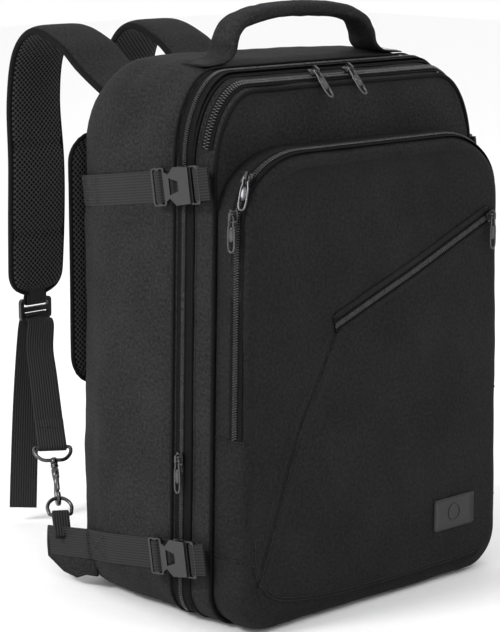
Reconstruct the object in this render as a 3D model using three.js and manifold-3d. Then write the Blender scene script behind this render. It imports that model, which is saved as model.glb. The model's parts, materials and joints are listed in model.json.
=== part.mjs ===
// Carry-on travel backpack, in millimetres. +Z is up, -Y is the front face with the pocket, and +Y is the side
// that lies on the wearer's back. The origin is in the flat base, under the middle of the main compartment.
import * as THREE from 'three';
import * as BufferGeometryUtils from 'three/addons/utils/BufferGeometryUtils.js';
import Module from 'manifold-3d';

const wasm = await Module();
wasm.setup();

// ---- driving dimensions --------------------------------------------------------------------------
const gap = 0.3; // clearance between pieces that touch on the real bag
const halfWidth = 179; // half the bag's width, halfway up
const taper = 0.056; // the bag is this share narrower at its top than at its base
const bagHeight = 511; // top seam of the front section
const topHeight = 532; // crown of the main compartment
const zipY = -90; // plane of the main zip, where the bag lets out
const frontY = -130; // front face of the organiser compartment
const pocketY = -173; // front face of the pocket
const backY = 79; // plane of the back panel
const wall = 4; // padded cloth wall
const pocketTop = 457;
const topCorner = [52, 80]; // how far the outline's rounded top corners reach across and up
const pocketCorner = [78, 60];
const webbingWidth = 31;
const webbingThickness = 1.6;
const padWidth = 70; // shoulder pad
const padThickness = 14;
const padX = 66; // shoulder pad centre, from the bag's middle
const strapSlope = THREE.MathUtils.degToRad(8); // compression straps fall towards the back
const coilWidth = 6; // closed zip coil
const coilHeight = 2.2;
const pullLength = 34;

// ---- finishes ------------------------------------------------------------------------------------
const finish = (color, roughness, metalness = 0) =>
  new THREE.MeshStandardMaterial({ color, roughness, metalness });
const shellCloth = finish(0x1c1c1d, 0.85);
const faceCloth = finish(0x161617, 0.88);
const liningCloth = finish(0x3a3c40, 0.8);
const meshCloth = finish(0x101011, 0.95);
const webbing = finish(0x19191a, 0.8);
const plastic = finish(0x151516, 0.45);
const coilPlastic = finish(0x1e1e20, 0.4);
const gunmetal = finish(0x55565a, 0.3, 1);
const stiffenerPlastic = finish(0x2a2b2d, 0.55);
const foam = finish(0x242528, 0.9);
const patchRubber = finish(0x0e0e0f, 0.6);

// ---- geometry helpers ----------------------------------------------------------------------------

// A closed solid from its corners and faces, turned so that the faces point out.
function solidFrom(points, faces) {
  const volume = faces.reduce((sum, [a, b, c]) => {
    const [p, q, r] = [points[a], points[b], points[c]];
    return sum + p.dot(new THREE.Vector3().crossVectors(q, r));
  }, 0);
  const index = faces.flatMap(([a, b, c]) => (volume > 0 ? [a, b, c] : [a, c, b]));
  const geometry = new THREE.BufferGeometry();
  geometry.setAttribute('position', new THREE.Float32BufferAttribute(points.flatMap((p) => p.toArray()), 3));
  geometry.setIndex(index);
  geometry.computeVertexNormals();
  return geometry;
}

// A skin over rings of equal count, closed by a fan to a pole at each end.
function skin(rings, firstPole, lastPole) {
  const count = rings[0].length;
  const points = [firstPole, ...rings.flat(), lastPole];
  const last = points.length - 1;
  const faces = [];
  for (let i = 0; i < count; i += 1) {
    const next = (i + 1) % count;
    faces.push([0, 1 + next, 1 + i]);
    for (let k = 0; k + 1 < rings.length; k += 1) {
      const [a, b] = [1 + k * count, 1 + (k + 1) * count];
      faces.push([a + i, a + next, b + next], [a + i, b + next, b + i]);
    }
    const end = 1 + (rings.length - 1) * count;
    faces.push([last, end + i, end + next]);
  }
  return solidFrom(points, faces);
}

// A skin over rings that run round a closed loop.
function loopSkin(rings) {
  const count = rings[0].length;
  const faces = [];
  rings.forEach((_, k) => {
    const [a, b] = [k * count, ((k + 1) % rings.length) * count];
    for (let i = 0; i < count; i += 1) {
      const next = (i + 1) % count;
      faces.push([a + i, a + next, b + next], [a + i, b + next, b + i]);
    }
  });
  return solidFrom(rings.flat(), faces);
}

const middle = (ring) => ring.reduce((sum, p) => sum.add(p), new THREE.Vector3()).divideScalar(ring.length);

const capped = (rings) => skin(rings, middle(rings[0]), middle(rings[rings.length - 1]));

// A flat band carried along a path. across(t) gives the band's width direction at each point.
function band(path, width, thickness, across) {
  const rings = path.map((p, i) => {
    const along = new THREE.Vector3()
      .subVectors(path[Math.min(i + 1, path.length - 1)], path[Math.max(i - 1, 0)])
      .normalize();
    const side = across(i / (path.length - 1)).clone();
    side.addScaledVector(along, -side.dot(along)).normalize();
    const out = new THREE.Vector3().crossVectors(side, along);
    return [[-1, -1], [1, -1], [1, 1], [-1, 1]].map(([u, v]) =>
      p.clone().addScaledVector(side, (u * width) / 2).addScaledVector(out, (v * thickness) / 2));
  });
  return capped(rings);
}

// A round wire along a path; closed joins its two ends.
function wire(path, radius, sides, closed) {
  const count = path.length;
  let normal = new THREE.Vector3(0.3, 0.9, 0.2);
  const rings = path.map((p, i) => {
    const before = closed ? path[(i + count - 1) % count] : path[Math.max(i - 1, 0)];
    const after = closed ? path[(i + 1) % count] : path[Math.min(i + 1, count - 1)];
    const along = new THREE.Vector3().subVectors(after, before).normalize();
    normal = normal.clone().addScaledVector(along, -normal.dot(along)).normalize();
    const other = new THREE.Vector3().crossVectors(along, normal);
    return Array.from({ length: sides }, (_, k) => {
      const angle = (2 * Math.PI * k) / sides;
      return p.clone()
        .addScaledVector(normal, radius * Math.cos(angle))
        .addScaledVector(other, radius * Math.sin(angle));
    });
  });
  return closed ? loopSkin(rings) : capped(rings);
}

function toManifold(geometry) {
  const plain = geometry.clone();
  plain.deleteAttribute('normal');
  plain.deleteAttribute('uv');
  const merged = BufferGeometryUtils.mergeVertices(plain, 1e-4);
  return new wasm.Manifold(new wasm.Mesh({
    numProp: 3,
    vertProperties: new Float32Array(merged.attributes.position.array),
    triVerts: new Uint32Array(merged.index.array),
  }));
}

function fromManifold(solid) {
  const mesh = solid.getMesh();
  const geometry = new THREE.BufferGeometry();
  geometry.setAttribute('position', new THREE.BufferAttribute(new Float32Array(mesh.vertProperties), 3));
  geometry.setIndex(new THREE.BufferAttribute(new Uint32Array(mesh.triVerts), 1));
  geometry.computeVertexNormals();
  return geometry;
}

const join = (...parts) => fromManifold(parts.map(toManifold).reduce((a, b) => a.add(b)));
const cut = (body, ...tools) => fromManifold(
  tools.map(toManifold).reduce((a, b) => a.subtract(b), toManifold(body)),
);

const block = (sx, sy, sz, x, y, z) => new THREE.BoxGeometry(sx, sy, sz).translate(x, y, z);

// An outline in the X-Y plane from corner points, given as [x, y], extruded up Z from z0 by depth.
function plate(corners, depth, z0, holes = []) {
  const shape = new THREE.Shape(corners.map(([x, y]) => new THREE.Vector2(x, y)));
  holes.forEach((hole) => shape.holes.push(new THREE.Path(hole.map(([x, y]) => new THREE.Vector2(x, y)))));
  return new THREE.ExtrudeGeometry(shape, { depth, bevelEnabled: false, steps: 1 }).translate(0, 0, z0);
}

// Corner points of a rounded rectangle about (x, y).
function roundedRectangle(x, y, sx, sy, radius, steps) {
  const centres = [[1, 1, 0], [-1, 1, 90], [-1, -1, 180], [1, -1, 270]];
  return centres.flatMap(([u, v, start]) => Array.from({ length: steps + 1 }, (_, k) => {
    const angle = THREE.MathUtils.degToRad(start + (90 * k) / steps);
    return [
      x + u * (sx / 2 - radius) + radius * Math.cos(angle),
      y + v * (sy / 2 - radius) + radius * Math.sin(angle),
    ];
  }));
}

// The bag's outline at depth y: a rounded rectangle from z = low to z = high, drawn in by inset at its sides
// and a little wider at the base than at the top. Its top corners are quarter ellipses.
function outline({ y, inset = 0, low = 0, high, top = topCorner, bottom = 36 }, steps = 8) {
  const half = halfWidth - inset;
  const [across, rise] = top;
  const corners = [
    [half - across, high - rise, across, rise, 0],
    [-half + across, high - rise, across, rise, 90],
    [-half + bottom, low + bottom, bottom, bottom, 180],
    [half - bottom, low + bottom, bottom, bottom, 270],
  ];
  return corners.flatMap(([cx, cz, rx, rz, start]) => Array.from({ length: steps + 1 }, (_, k) => {
    const angle = THREE.MathUtils.degToRad(start + (90 * k) / steps);
    const z = cz + rz * Math.sin(angle);
    return new THREE.Vector3((cx + rx * Math.cos(angle)) * (1 + taper * (0.5 - z / bagHeight)), y, z);
  }));
}

// The same outline moved in by the wall's thickness and back to depth y.
const inside = (section, y) => ({
  ...section,
  y,
  inset: (section.inset ?? 0) + wall,
  low: (section.low ?? 0) + wall,
  high: section.high - wall,
  top: (section.top ?? topCorner).map((reach) => reach - wall),
  bottom: (section.bottom ?? 36) - wall,
});

// A cloth tray: its sections run from the open rim to the closed face, and its wall is one wall thick.
function tray(sections, closedTowards) {
  const outer = sections.map((s) => outline(s));
  const inner = sections.map((s, i) => {
    const last = sections.length - 1;
    const y = i === 0 ? s.y : s.y - (closedTowards * wall * i) / last;
    return outline(inside(s, y));
  });
  const rings = [...outer.reverse(), ...inner];
  return skin(rings, middle(rings[0]), middle(rings[rings.length - 1]));
}

// ---- the assembly --------------------------------------------------------------------------------
const bag = new THREE.Group();

function add(name, geometry, material, parent = bag) {
  const mesh = new THREE.Mesh(geometry, material);
  mesh.name = name;
  parent.add(mesh);
  return mesh;
}

// The right-hand twin of a left-hand piece, mirrored across the bag's middle plane.
function mirror(mesh, name) {
  const geometry = mesh.geometry.index ? mesh.geometry.toNonIndexed() : mesh.geometry.clone();
  geometry.scale(-1, 1, 1);
  const p = geometry.attributes.position;
  for (let i = 0; i < p.count; i += 3) {
    const corner = new THREE.Vector3().fromBufferAttribute(p, i + 1);
    p.setXYZ(i + 1, p.getX(i + 2), p.getY(i + 2), p.getZ(i + 2));
    p.setXYZ(i + 2, corner.x, corner.y, corner.z);
  }
  geometry.computeVertexNormals();
  const twin = add(name, geometry, mesh.material);
  mesh.updateWorldMatrix(true, false);
  const [position, turn, scale] = [new THREE.Vector3(), new THREE.Quaternion(), new THREE.Vector3()];
  mesh.matrixWorld.decompose(position, turn, scale);
  twin.position.set(-position.x, position.y, position.z);
  twin.quaternion.set(turn.x, -turn.y, -turn.z, turn.w);
  return twin;
}

// ---- main compartment ----------------------------------------------------------------------------
const mainSections = [
  { y: zipY + gap, high: 525 },
  { y: -50, inset: -4, high: 530, top: [54, 82] },
  { y: 10, inset: -5, high: topHeight, top: [58, 84] },
  { y: 45, inset: -1, high: 529, top: [62, 84] },
  { y: 66, inset: 6, low: 3, high: 521, top: [64, 82] },
  { y: 76, inset: 16, low: 9, high: 511, top: [64, 78], bottom: 40 },
  { y: backY, inset: 26, low: 18, high: 500, top: [62, 74], bottom: 40 },
];
add('main_shell', tray(mainSections, 1), shellCloth);

const plateInXZ = (corners, thickness, y) =>
  plate(corners, thickness, 0).rotateX(Math.PI / 2).translate(0, y + thickness, 0);

const stiffener = plateInXZ(roundedRectangle(0, 255, 280, 430, 40, 4), 2.5, backY - wall - gap - 3);
add('back_stiffener', stiffener, stiffenerPlastic);

const sleeve = plateInXZ(roundedRectangle(0, 190, 300, 320, 18, 4), 9, backY - wall - 13);
add('laptop_sleeve', sleeve, foam);

// ---- back panel pads -----------------------------------------------------------------------------
// Each pad is a rounded cushion on the back panel: two beside the spine, and one across the waist.
function backPad(x, z, width, height) {
  const sections = [
    [backY + gap, 0],
    [backY + 9, -2],
    [backY + 14, 5],
    [backY + 16, 14],
  ];
  const rings = sections.map(([y, inset]) => {
    const corners = roundedRectangle(x, z, width - 2 * inset, height - 2 * inset, 30 - inset, 4);
    return corners.map(([u, v]) => new THREE.Vector3(u, y, v));
  });
  return capped(rings);
}
const leftPad = add('back_pad_left', backPad(-95, 330, 162, 250), meshCloth);
mirror(leftPad, 'back_pad_right');
add('lumbar_pad', backPad(0, 122, 300, 130), meshCloth);

// ---- top handle ----------------------------------------------------------------------------------
const handleY = -54;
const handleSpan = 94; // half the distance between the handle's two feet
const handleRise = 46;
const handlePath = Array.from({ length: 17 }, (_, i) => {
  const angle = Math.PI * (1 - i / 16);
  const x = handleSpan * Math.sign(Math.cos(angle)) * Math.abs(Math.cos(angle)) ** 0.8;
  return new THREE.Vector3(x, handleY, 532.5 + handleRise * Math.sin(angle) ** 0.8);
});
const handleRings = handlePath.map((p, i) => {
  const along = new THREE.Vector3()
    .subVectors(handlePath[Math.min(i + 1, 16)], handlePath[Math.max(i - 1, 0)])
    .normalize();
  const out = new THREE.Vector3(-along.z, 0, along.x);
  const section = roundedRectangle(0, 0, 34, 15, 6, 2);
  return section.map(([u, v]) => new THREE.Vector3(p.x, p.y + u, p.z).addScaledVector(out, v));
});
add('top_handle', capped(handleRings), shellCloth);

// ---- shoulder straps, standing behind the back panel ---------------------------------------------
// Route of the pad's middle line in the Y-Z plane: up out of the back panel, over, and down.
const padRoute = new THREE.CatmullRomCurve3([
  new THREE.Vector3(-padX, 89, 466),
  new THREE.Vector3(-padX, 102, 482),
  new THREE.Vector3(-padX, 124, 492),
  new THREE.Vector3(-padX, 160, 512),
  new THREE.Vector3(-padX, 192, 533),
  new THREE.Vector3(-padX, 238, 546),
  new THREE.Vector3(-padX, 270, 522),
  new THREE.Vector3(-padX, 281, 470),
  new THREE.Vector3(-padX, 278, 400),
  new THREE.Vector3(-padX, 280, 330),
  new THREE.Vector3(-padX, 284, 258),
], false, 'centripetal');
const padSteps = 22;
const padRings = Array.from({ length: padSteps + 1 }, (_, i) => {
  const t = i / padSteps;
  const p = padRoute.getPointAt(t);
  const along = padRoute.getTangentAt(t);
  const out = new THREE.Vector3(0, -along.z, along.y);
  const narrow = t > 0.9 ? 1 - 2.2 * (t - 0.9) : 1;
  const section = roundedRectangle(0, 0, padWidth * narrow, padThickness, 5, 2);
  return section.map(([u, v]) => new THREE.Vector3(p.x + u, p.y, p.z).addScaledVector(out, v));
});
const leftShoulderPad = add('shoulder_pad_left', capped(padRings), meshCloth);
mirror(leftShoulderPad, 'shoulder_pad_right');

// ---- strap hardware under the pad ----------------------------------------------------------------
const lockPoint = new THREE.Vector3(-padX, 285, 240); // ladder lock, under the pad's end
const ringPoint = new THREE.Vector3(-174, 110, 70); // centre of the anchor ring at the bag's lower back corner
const chain = new THREE.Vector3().subVectors(ringPoint, lockPoint);
const chainLength = chain.length();
const chainDown = chain.clone().normalize();
const alongChain = (distance) => lockPoint.clone().addScaledVector(chainDown, distance);

const lockFrame = plate(
  roundedRectangle(0, 0, 42, 24, 4, 3), 4.5, -2.25,
  [roundedRectangle(0, 5, 33, 4.6, 1, 1), roundedRectangle(0, -5, 33, 4.6, 1, 1)],
).rotateX(Math.PI / 2);
const lock = add('ladder_lock_left', lockFrame, plastic);
lock.position.copy(lockPoint);
mirror(lock, 'ladder_lock_right');

// One webbing: up from the swivel eye, through the ladder lock's lower slot, over its bottom bar and down as a
// free tail.
const eyeDistance = chainLength - 77;
const widthDirection = new THREE.Vector3(0.86, -0.5, 0);
const slotAt = lockPoint.clone().add(new THREE.Vector3(0, 0, -5));
const webbingPath = [
  alongChain(eyeDistance - 3.2),
  alongChain(0.66 * eyeDistance),
  alongChain(0.33 * eyeDistance),
  alongChain(24).add(new THREE.Vector3(8, -2, 1)),
  slotAt.clone().add(new THREE.Vector3(0, -5, -4)),
  slotAt.clone().add(new THREE.Vector3(0, -3.4, -0.4)),
  slotAt.clone().add(new THREE.Vector3(0, 3.4, -0.4)),
  slotAt.clone().add(new THREE.Vector3(0, 5.6, -5)),
  new THREE.Vector3(-padX - 3, 292, 216),
  new THREE.Vector3(-padX - 8, 293, 150),
  new THREE.Vector3(-padX - 13, 292, 80),
  new THREE.Vector3(-padX - 18, 290, 14),
];
const webbingTurns = [-0.75, -0.5, -0.25, 0, 0, 0, 0, 0, -0.1, -0.35, -0.6, -0.8];
const strapWebbing = add('strap_webbing_left', band(webbingPath, webbingWidth - 1, webbingThickness, (t) =>
  new THREE.Vector3(1, webbingTurns[Math.round(t * (webbingTurns.length - 1))], 0)), webbing);
mirror(strapWebbing, 'strap_webbing_right');

// Frame of the swivel hook: local Z runs up the chain, local X across the webbing.
const hookGroup = new THREE.Group();
const hookZ = chainDown.clone().negate();
const hookX = widthDirection.clone().addScaledVector(hookZ, -widthDirection.dot(hookZ)).normalize();
const hookY = new THREE.Vector3().crossVectors(hookZ, hookX);
hookGroup.position.copy(alongChain(eyeDistance));
hookGroup.quaternion.setFromRotationMatrix(new THREE.Matrix4().makeBasis(hookX, hookY, hookZ));
bag.add(hookGroup);

const local = (x, y, z) => new THREE.Vector3(x, y, z);
const eyeHalf = 17.5; // half the eye's inner bar
const eyeDepth = 16;
const eyePath = [
  local(-eyeHalf, 0, 0), local(-eyeHalf / 3, 0, 0), local(eyeHalf / 3, 0, 0), local(eyeHalf, 0, 0),
  local(eyeHalf + 1.5, 0, -5), local(eyeHalf - 1, 0, -11), local(eyeHalf - 7, 0, -eyeDepth),
  local(0, 0, -eyeDepth - 0.5),
  local(-eyeHalf + 7, 0, -eyeDepth), local(-eyeHalf + 1, 0, -11), local(-eyeHalf - 1.5, 0, -5),
];
const eyeBoss = new THREE.CylinderGeometry(3.6, 3.6, 7, 12).rotateX(Math.PI / 2).translate(0, 0, -18);
const eyeLoop = wire(eyePath, 1.9, 8, true);
const eye = add('hook_eye_left', join(eyeLoop, eyeBoss), gunmetal, hookGroup);
mirror(eye, 'hook_eye_right');

// The hook: a stem under the eye, a bowl that takes the anchor ring, and a sprung gate that closes its mouth.
const stemTop = -21.5 - gap;
const stem = new THREE.CylinderGeometry(3.8, 3.2, 20, 12).rotateX(Math.PI / 2).translate(0, 0, stemTop - 10);
const bowlPath = [
  local(0, 0, stemTop - 18), local(2.2, 0, stemTop - 24), local(6.8, 0, stemTop - 30),
  local(8.6, 0, stemTop - 38),
  local(6.4, 0, stemTop - 45), local(0.5, 0, stemTop - 48.5), local(-5.4, 0, stemTop - 45.5),
  local(-7.2, 0, stemTop - 40.5),
];
const quarterTurn = Math.PI / 2; // the hook hangs turned on its swivel, across the ring
const hookSolid = join(stem, wire(bowlPath, 2.4, 8, false)).rotateZ(quarterTurn);
const hook = add('snap_hook_left', hookSolid, gunmetal, hookGroup);
mirror(hook, 'snap_hook_right');

const gatePath = [
  local(-5.4, 0, stemTop - 17), local(-8.4, 0, stemTop - 24), local(-8.6, 0, stemTop - 31),
  local(-7.6, 0, stemTop - 37.3),
];
const thumb = new THREE.SphereGeometry(2.6, 8, 6).translate(-8.6, 0, stemTop - 22);
const gateSolid = join(wire(gatePath, 1.5, 8, false), thumb).rotateZ(quarterTurn);
const gate = add('hook_trigger_left', gateSolid, gunmetal, hookGroup);
mirror(gate, 'hook_trigger_right');

// Anchor ring: a D shape whose round side hangs in the hook's bowl. Its bar sits in the anchor tab's loop.
const ringGroup = new THREE.Group();
ringGroup.position.copy(ringPoint);
ringGroup.quaternion.copy(hookGroup.quaternion);
bag.add(ringGroup);

const ringRadius = 12.5;
const ringBarZ = -8;
const ringPath = [
  local(-10, 0, ringBarZ), local(0, 0, ringBarZ), local(10, 0, ringBarZ),
  ...Array.from({ length: 9 }, (_, k) => {
    const angle = THREE.MathUtils.degToRad(-20 + (220 * k) / 8);
    return local(ringRadius * Math.cos(angle), 0, ringRadius * Math.sin(angle));
  }),
];
const ring = add('anchor_ring_left', wire(ringPath, 1.9, 8, true), gunmetal, ringGroup);
mirror(ring, 'anchor_ring_right');

// The anchor tab: webbing folded over the ring's bar, sewn into a cloth wedge at the bag's corner.
const loopOuter = new THREE.CylinderGeometry(4.6, 4.6, 17, 12).rotateZ(Math.PI / 2).translate(0, 0, ringBarZ);
const loopTail = block(17, 6, 24, 0, 0, ringBarZ - 12);
const loopBore = new THREE.CylinderGeometry(2.5, 2.5, 30, 12).rotateZ(Math.PI / 2).translate(0, 0, ringBarZ);
ringGroup.updateMatrix();
const tabLoop = cut(join(loopOuter, loopTail), loopBore).applyMatrix4(ringGroup.matrix);
const wingCorners = [[57, 14], [70, 7], [92, 9], [117, 20], [117, 52], [57, 61]]; // y, z
const wing = plate(wingCorners, 3.4, 0).rotateY(Math.PI / 2).rotateX(Math.PI / 2).translate(-185.4, 0, 0);
const tab = add('anchor_tab_left', join(tabLoop, wing), webbing);
mirror(tab, 'anchor_tab_right');

// ---- compression straps across the sides ---------------------------------------------------------
// Local frame of a strap: X runs back along the strap, Y up across it, Z out of the bag's side.
const buckleMouth = -86; // y of the female half's mouth

function sideGroup(x, z, lean) {
  const group = new THREE.Group();
  group.position.set(-x, buckleMouth, z);
  const along = new THREE.Vector3(0, Math.cos(strapSlope), -Math.sin(strapSlope));
  const out = new THREE.Vector3(-1, 0, lean);
  out.addScaledVector(along, -out.dot(along)).normalize();
  const up = new THREE.Vector3().crossVectors(out, along);
  group.quaternion.setFromRotationMatrix(new THREE.Matrix4().makeBasis(along, up, out));
  bag.add(group);
  return group;
}

const bodyWidth = 36;
const plateLevels = [2.2, 3.6, 8, 9.4]; // inner plate, then the arms' space, then the outer plate
const femaleOutline = [
  [-26, -bodyWidth / 2 + 1], [-6, -bodyWidth / 2], [2, -11], [8, -14], [8, 14], [2, 11],
  [-6, bodyWidth / 2], [-26, bodyWidth / 2 - 1],
];
const femaleWindow = [[-11, -4.5], [1.5, -8], [1.5, 8], [-11, 4.5]];

function femaleHalf() {
  const innerPlate = plate(femaleOutline, plateLevels[1] - plateLevels[0], plateLevels[0]);
  const outerPlate = plate(femaleOutline, plateLevels[3] - plateLevels[2], plateLevels[2], [femaleWindow]);
  const depth = plateLevels[3] - plateLevels[0];
  const rear = block(4, bodyWidth - 3, depth, -23.8, 0, plateLevels[0] + depth / 2);
  const bars = plate(
    roundedRectangle(-31, 0, 13, bodyWidth, 2, 2), 3.4, 4,
    [roundedRectangle(-30.5, 0, 5.4, webbingWidth + 2, 0.6, 1)],
  );
  return join(innerPlate, outerPlate, rear, bars);
}

function maleHalf() {
  const arm = (sign) => [
    [10.5, sign * 13.5], [0, sign * 11.2], [-7, sign * 14], [-10.6, sign * 11], [-6, sign * 8.4],
    [2, sign * 8], [10.5, sign * 9],
  ];
  const level = plateLevels[1] + 0.5;
  const depth = plateLevels[2] - plateLevels[1] - 1;
  const slots = [14.5, 23.5].map((x) => roundedRectangle(x, 0, 4.4, webbingWidth + 1.5, 0.6, 1));
  const frame = plate(roundedRectangle(19, 0, 19, bodyWidth, 3, 2), depth, level, slots);
  return join(frame, plate(arm(1), depth, level), plate(arm(-1), depth, level));
}

// x is how far out the strap lies. The rear webbing runs from its sewn end at the back, under both halves of
// the buckle, so that its slack is there when the bag is let out. The front one is sewn in the seam.
const slack = 38;
const taperLean = -0.02; // the straps lean with the bag's tapering sides
function compressionStrap(level, x, z, backEnd) {
  const group = sideGroup(x, z, taperLean);
  const female = add(`buckle_female_${level}_left`, femaleHalf(), plastic, group);
  const male = add(`buckle_male_${level}_left`, maleHalf(), plastic, group);
  const rearLength = backEnd + slack;
  const rearWebbing = block(
    rearLength, webbingWidth, webbingThickness, backEnd - rearLength / 2, 0, webbingThickness / 2 + gap,
  );
  const rear = add(`strap_rear_${level}_left`, rearWebbing, webbing, group);
  const frontWebbing = block(13, webbingWidth, webbingThickness, -37, 0, 3.1);
  const front = add(`strap_front_${level}_left`, frontWebbing, webbing, group);
  [female, male, rear, front].forEach((mesh) => mirror(mesh, mesh.name.replace('left', 'right')));
}
compressionStrap('upper', 182.5, 423, 155);
compressionStrap('lower', 189.5, 66, 142);

// ---- front section: organiser compartment behind the front face ----------------------------------
const frontSections = [
  { y: zipY - gap, low: 0.4, high: 525 },
  { y: -110, inset: -1, low: 0.6, high: 519 },
  { y: -126, low: 1.2, high: bagHeight, top: [51, 78] },
  { y: frontY, inset: 3, low: 4, high: bagHeight - 3, top: [49, 76] },
];
add('front_shell', tray(frontSections, -1), shellCloth);

const dividerInset = wall + 0.6;
const dividerRings = [zipY - 3, zipY - 5.5].map((y) => outline({
  y, inset: dividerInset, low: 5.2, high: 523 - dividerInset, top: [48, 76], bottom: 32,
}));
add('divider_panel', capped(dividerRings), liningCloth);

// The cloth gusset that the main zip folds away: a ring inside the main compartment's rim, carried by the front
// section.
const gussetDepth = 42;
const gussetRing = (y, inset) => outline({
  y, inset, low: 0.4 + inset, high: 525 - inset, top: topCorner.map((reach) => reach - inset),
  bottom: 36 - inset,
});
const [gussetOut, gussetIn] = [wall + 0.8, wall + 2.3];
add('expansion_gusset', loopSkin([
  gussetRing(zipY + gap, gussetOut), gussetRing(zipY + gussetDepth, gussetOut),
  gussetRing(zipY + gussetDepth, gussetIn), gussetRing(zipY + gap, gussetIn),
]), liningCloth);

// ---- front pocket --------------------------------------------------------------------------------
const pocketSections = [
  { y: frontY - gap, low: 3, inset: 3, high: pocketTop, top: pocketCorner },
  { y: -150, low: 2, inset: 1, high: pocketTop, top: pocketCorner },
  { y: -165, low: 3, inset: 3, high: 453, top: [77, 59] },
  { y: -171, low: 6, inset: 6, high: 448, top: [75, 57], bottom: 38 },
  { y: pocketY, low: 12, inset: 12, high: 441, top: [71, 53], bottom: 36 },
];
add('pocket_shell', tray(pocketSections, -1), faceCloth);

const patch = plateInXZ(roundedRectangle(111, 70, 60, 33, 2, 2), 1.6, pocketY - 1.6 - gap);
add('patch', patch, patchRubber);

// ---- zip coils -----------------------------------------------------------------------------------
// A closed coil lies on the cloth along an outline, above the height where it stops on each side.
function coilOnOutline(section, stopHeight, lean) {
  const points = outline(section, 6).filter((p) => p.z > stopHeight);
  const start = points.findIndex((p, i) => i > 0 && points[i - 1].x < 0 && p.x > 0);
  const ordered = start > 0 ? [...points.slice(start), ...points.slice(0, start)] : points;
  const stopX = (halfWidth - section.inset) * (1 + taper * (0.5 - stopHeight / bagHeight));
  const first = new THREE.Vector3(stopX * Math.sign(ordered[0].x), section.y, stopHeight);
  const last = first.clone().setX(-first.x);
  const path = [first, ...ordered, last];
  const tilt = THREE.MathUtils.degToRad(lean);
  const rings = path.map((p, i) => {
    const along = new THREE.Vector3()
      .subVectors(path[Math.min(i + 1, path.length - 1)], path[Math.max(i - 1, 0)])
      .normalize();
    const depth = new THREE.Vector3(0, 1, 0);
    const out = new THREE.Vector3().crossVectors(along, depth).normalize();
    const up = out.clone().multiplyScalar(Math.cos(tilt)).addScaledVector(depth, -Math.sin(tilt));
    const side = depth.multiplyScalar(Math.cos(tilt)).addScaledVector(out, Math.sin(tilt));
    return [[-1, -1], [1, -1], [0.6, 1], [-0.6, 1]].map(([u, v]) => p.clone()
      .addScaledVector(side, (u * coilWidth) / 2)
      .addScaledVector(up, (v * coilHeight) / 2));
  });
  return capped(rings);
}
const coilLift = coilHeight / 2 + 0.7;
add('main_zip_coil', coilOnOutline({ y: zipY, inset: -coilLift, high: 525 + coilLift }, 34, 0), coilPlastic);
add('top_zip_coil', coilOnOutline(
  { y: -117, inset: -coilLift - 1, high: 516.6 + coilLift }, 459, 18), coilPlastic);
add('pocket_zip_coil', coilOnOutline(
  { y: -160, inset: 1.6 - coilLift, high: 455 + coilLift, top: pocketCorner }, 191, 8), coilPlastic);

const diagonalStart = new THREE.Vector3(-60, pocketY - coilHeight / 2 - gap, 287);
const diagonalEnd = new THREE.Vector3(159, pocketY - coilHeight / 2 - gap, 371.5);
const diagonalMiddle = new THREE.Vector3(50, diagonalStart.y, 325);
const diagonalPath = new THREE.QuadraticBezierCurve3(diagonalStart, diagonalMiddle, diagonalEnd).getPoints(6);
add('diagonal_zip_coil', band(diagonalPath, coilWidth, coilHeight, () =>
  new THREE.Vector3(-0.36, 0, 0.93)), coilPlastic);

// ---- sliders and pulls ---------------------------------------------------------------------------
// A slider's local frame: its pull hangs along -Y, the pull's pin lies along X, Z points out of the cloth.
const sliderOutline = [[-4.2, -6], [4.2, -6], [4.8, 1], [3.6, 6.4], [0, 4.6], [-3.6, 6.4], [-4.8, 1]];
const bridgeProfile = [[-4.4, 1.6], [4.4, 1.6], [4.4, 6.4], [3.2, 7.6], [-3.2, 7.6], [-4.4, 6.4]];
const bridgeHole = [[-2.8, 3], [2.8, 3], [2.8, 6.3], [-2.8, 6.3]];
const pullPivot = 4.8; // height of the pull's pin over the slider's foot

// The slider's foot, turned by footTurn about Z to lie along its zip, with the bridge that holds the pull.
function sliderSolid(footTurn) {
  const foot = plate(sliderOutline, 2.2, 0).rotateZ(footTurn);
  const bridge = plate(bridgeProfile, 2.4, -1.2, [bridgeHole]).rotateX(Math.PI / 2).rotateZ(Math.PI / 2);
  return join(foot, bridge);
}

// A flat cast pull: its pin, at the origin, passes under the bridge, and its slot clears the bridge's posts.
function pullSolid(tipWidth, tipRound) {
  const neck = 3.3;
  const half = tipWidth / 2;
  const shape = [
    [-neck, 0.8], [-neck, -8], [-half, -14], [-half, -pullLength + tipRound],
    [-half + tipRound, -pullLength], [half - tipRound, -pullLength], [half, -pullLength + tipRound],
    [half, -14], [neck, -8], [neck, 0.8],
  ];
  const slot = [[-1.7, -0.8], [-1.7, -6.4], [1.7, -6.4], [1.7, -0.8]];
  const windowTop = -pullLength + 11;
  const windowHole = [[-half + 2, windowTop], [-half + 2, -pullLength + 3], [half - 2, -pullLength + 3],
    [half - 2, windowTop]];
  return plate(shape, 1.4, -0.7, [slot, windowHole]);
}
const ovalPull = pullSolid(8.4, 3.2);
const squarePull = pullSolid(9, 1.6);

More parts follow.
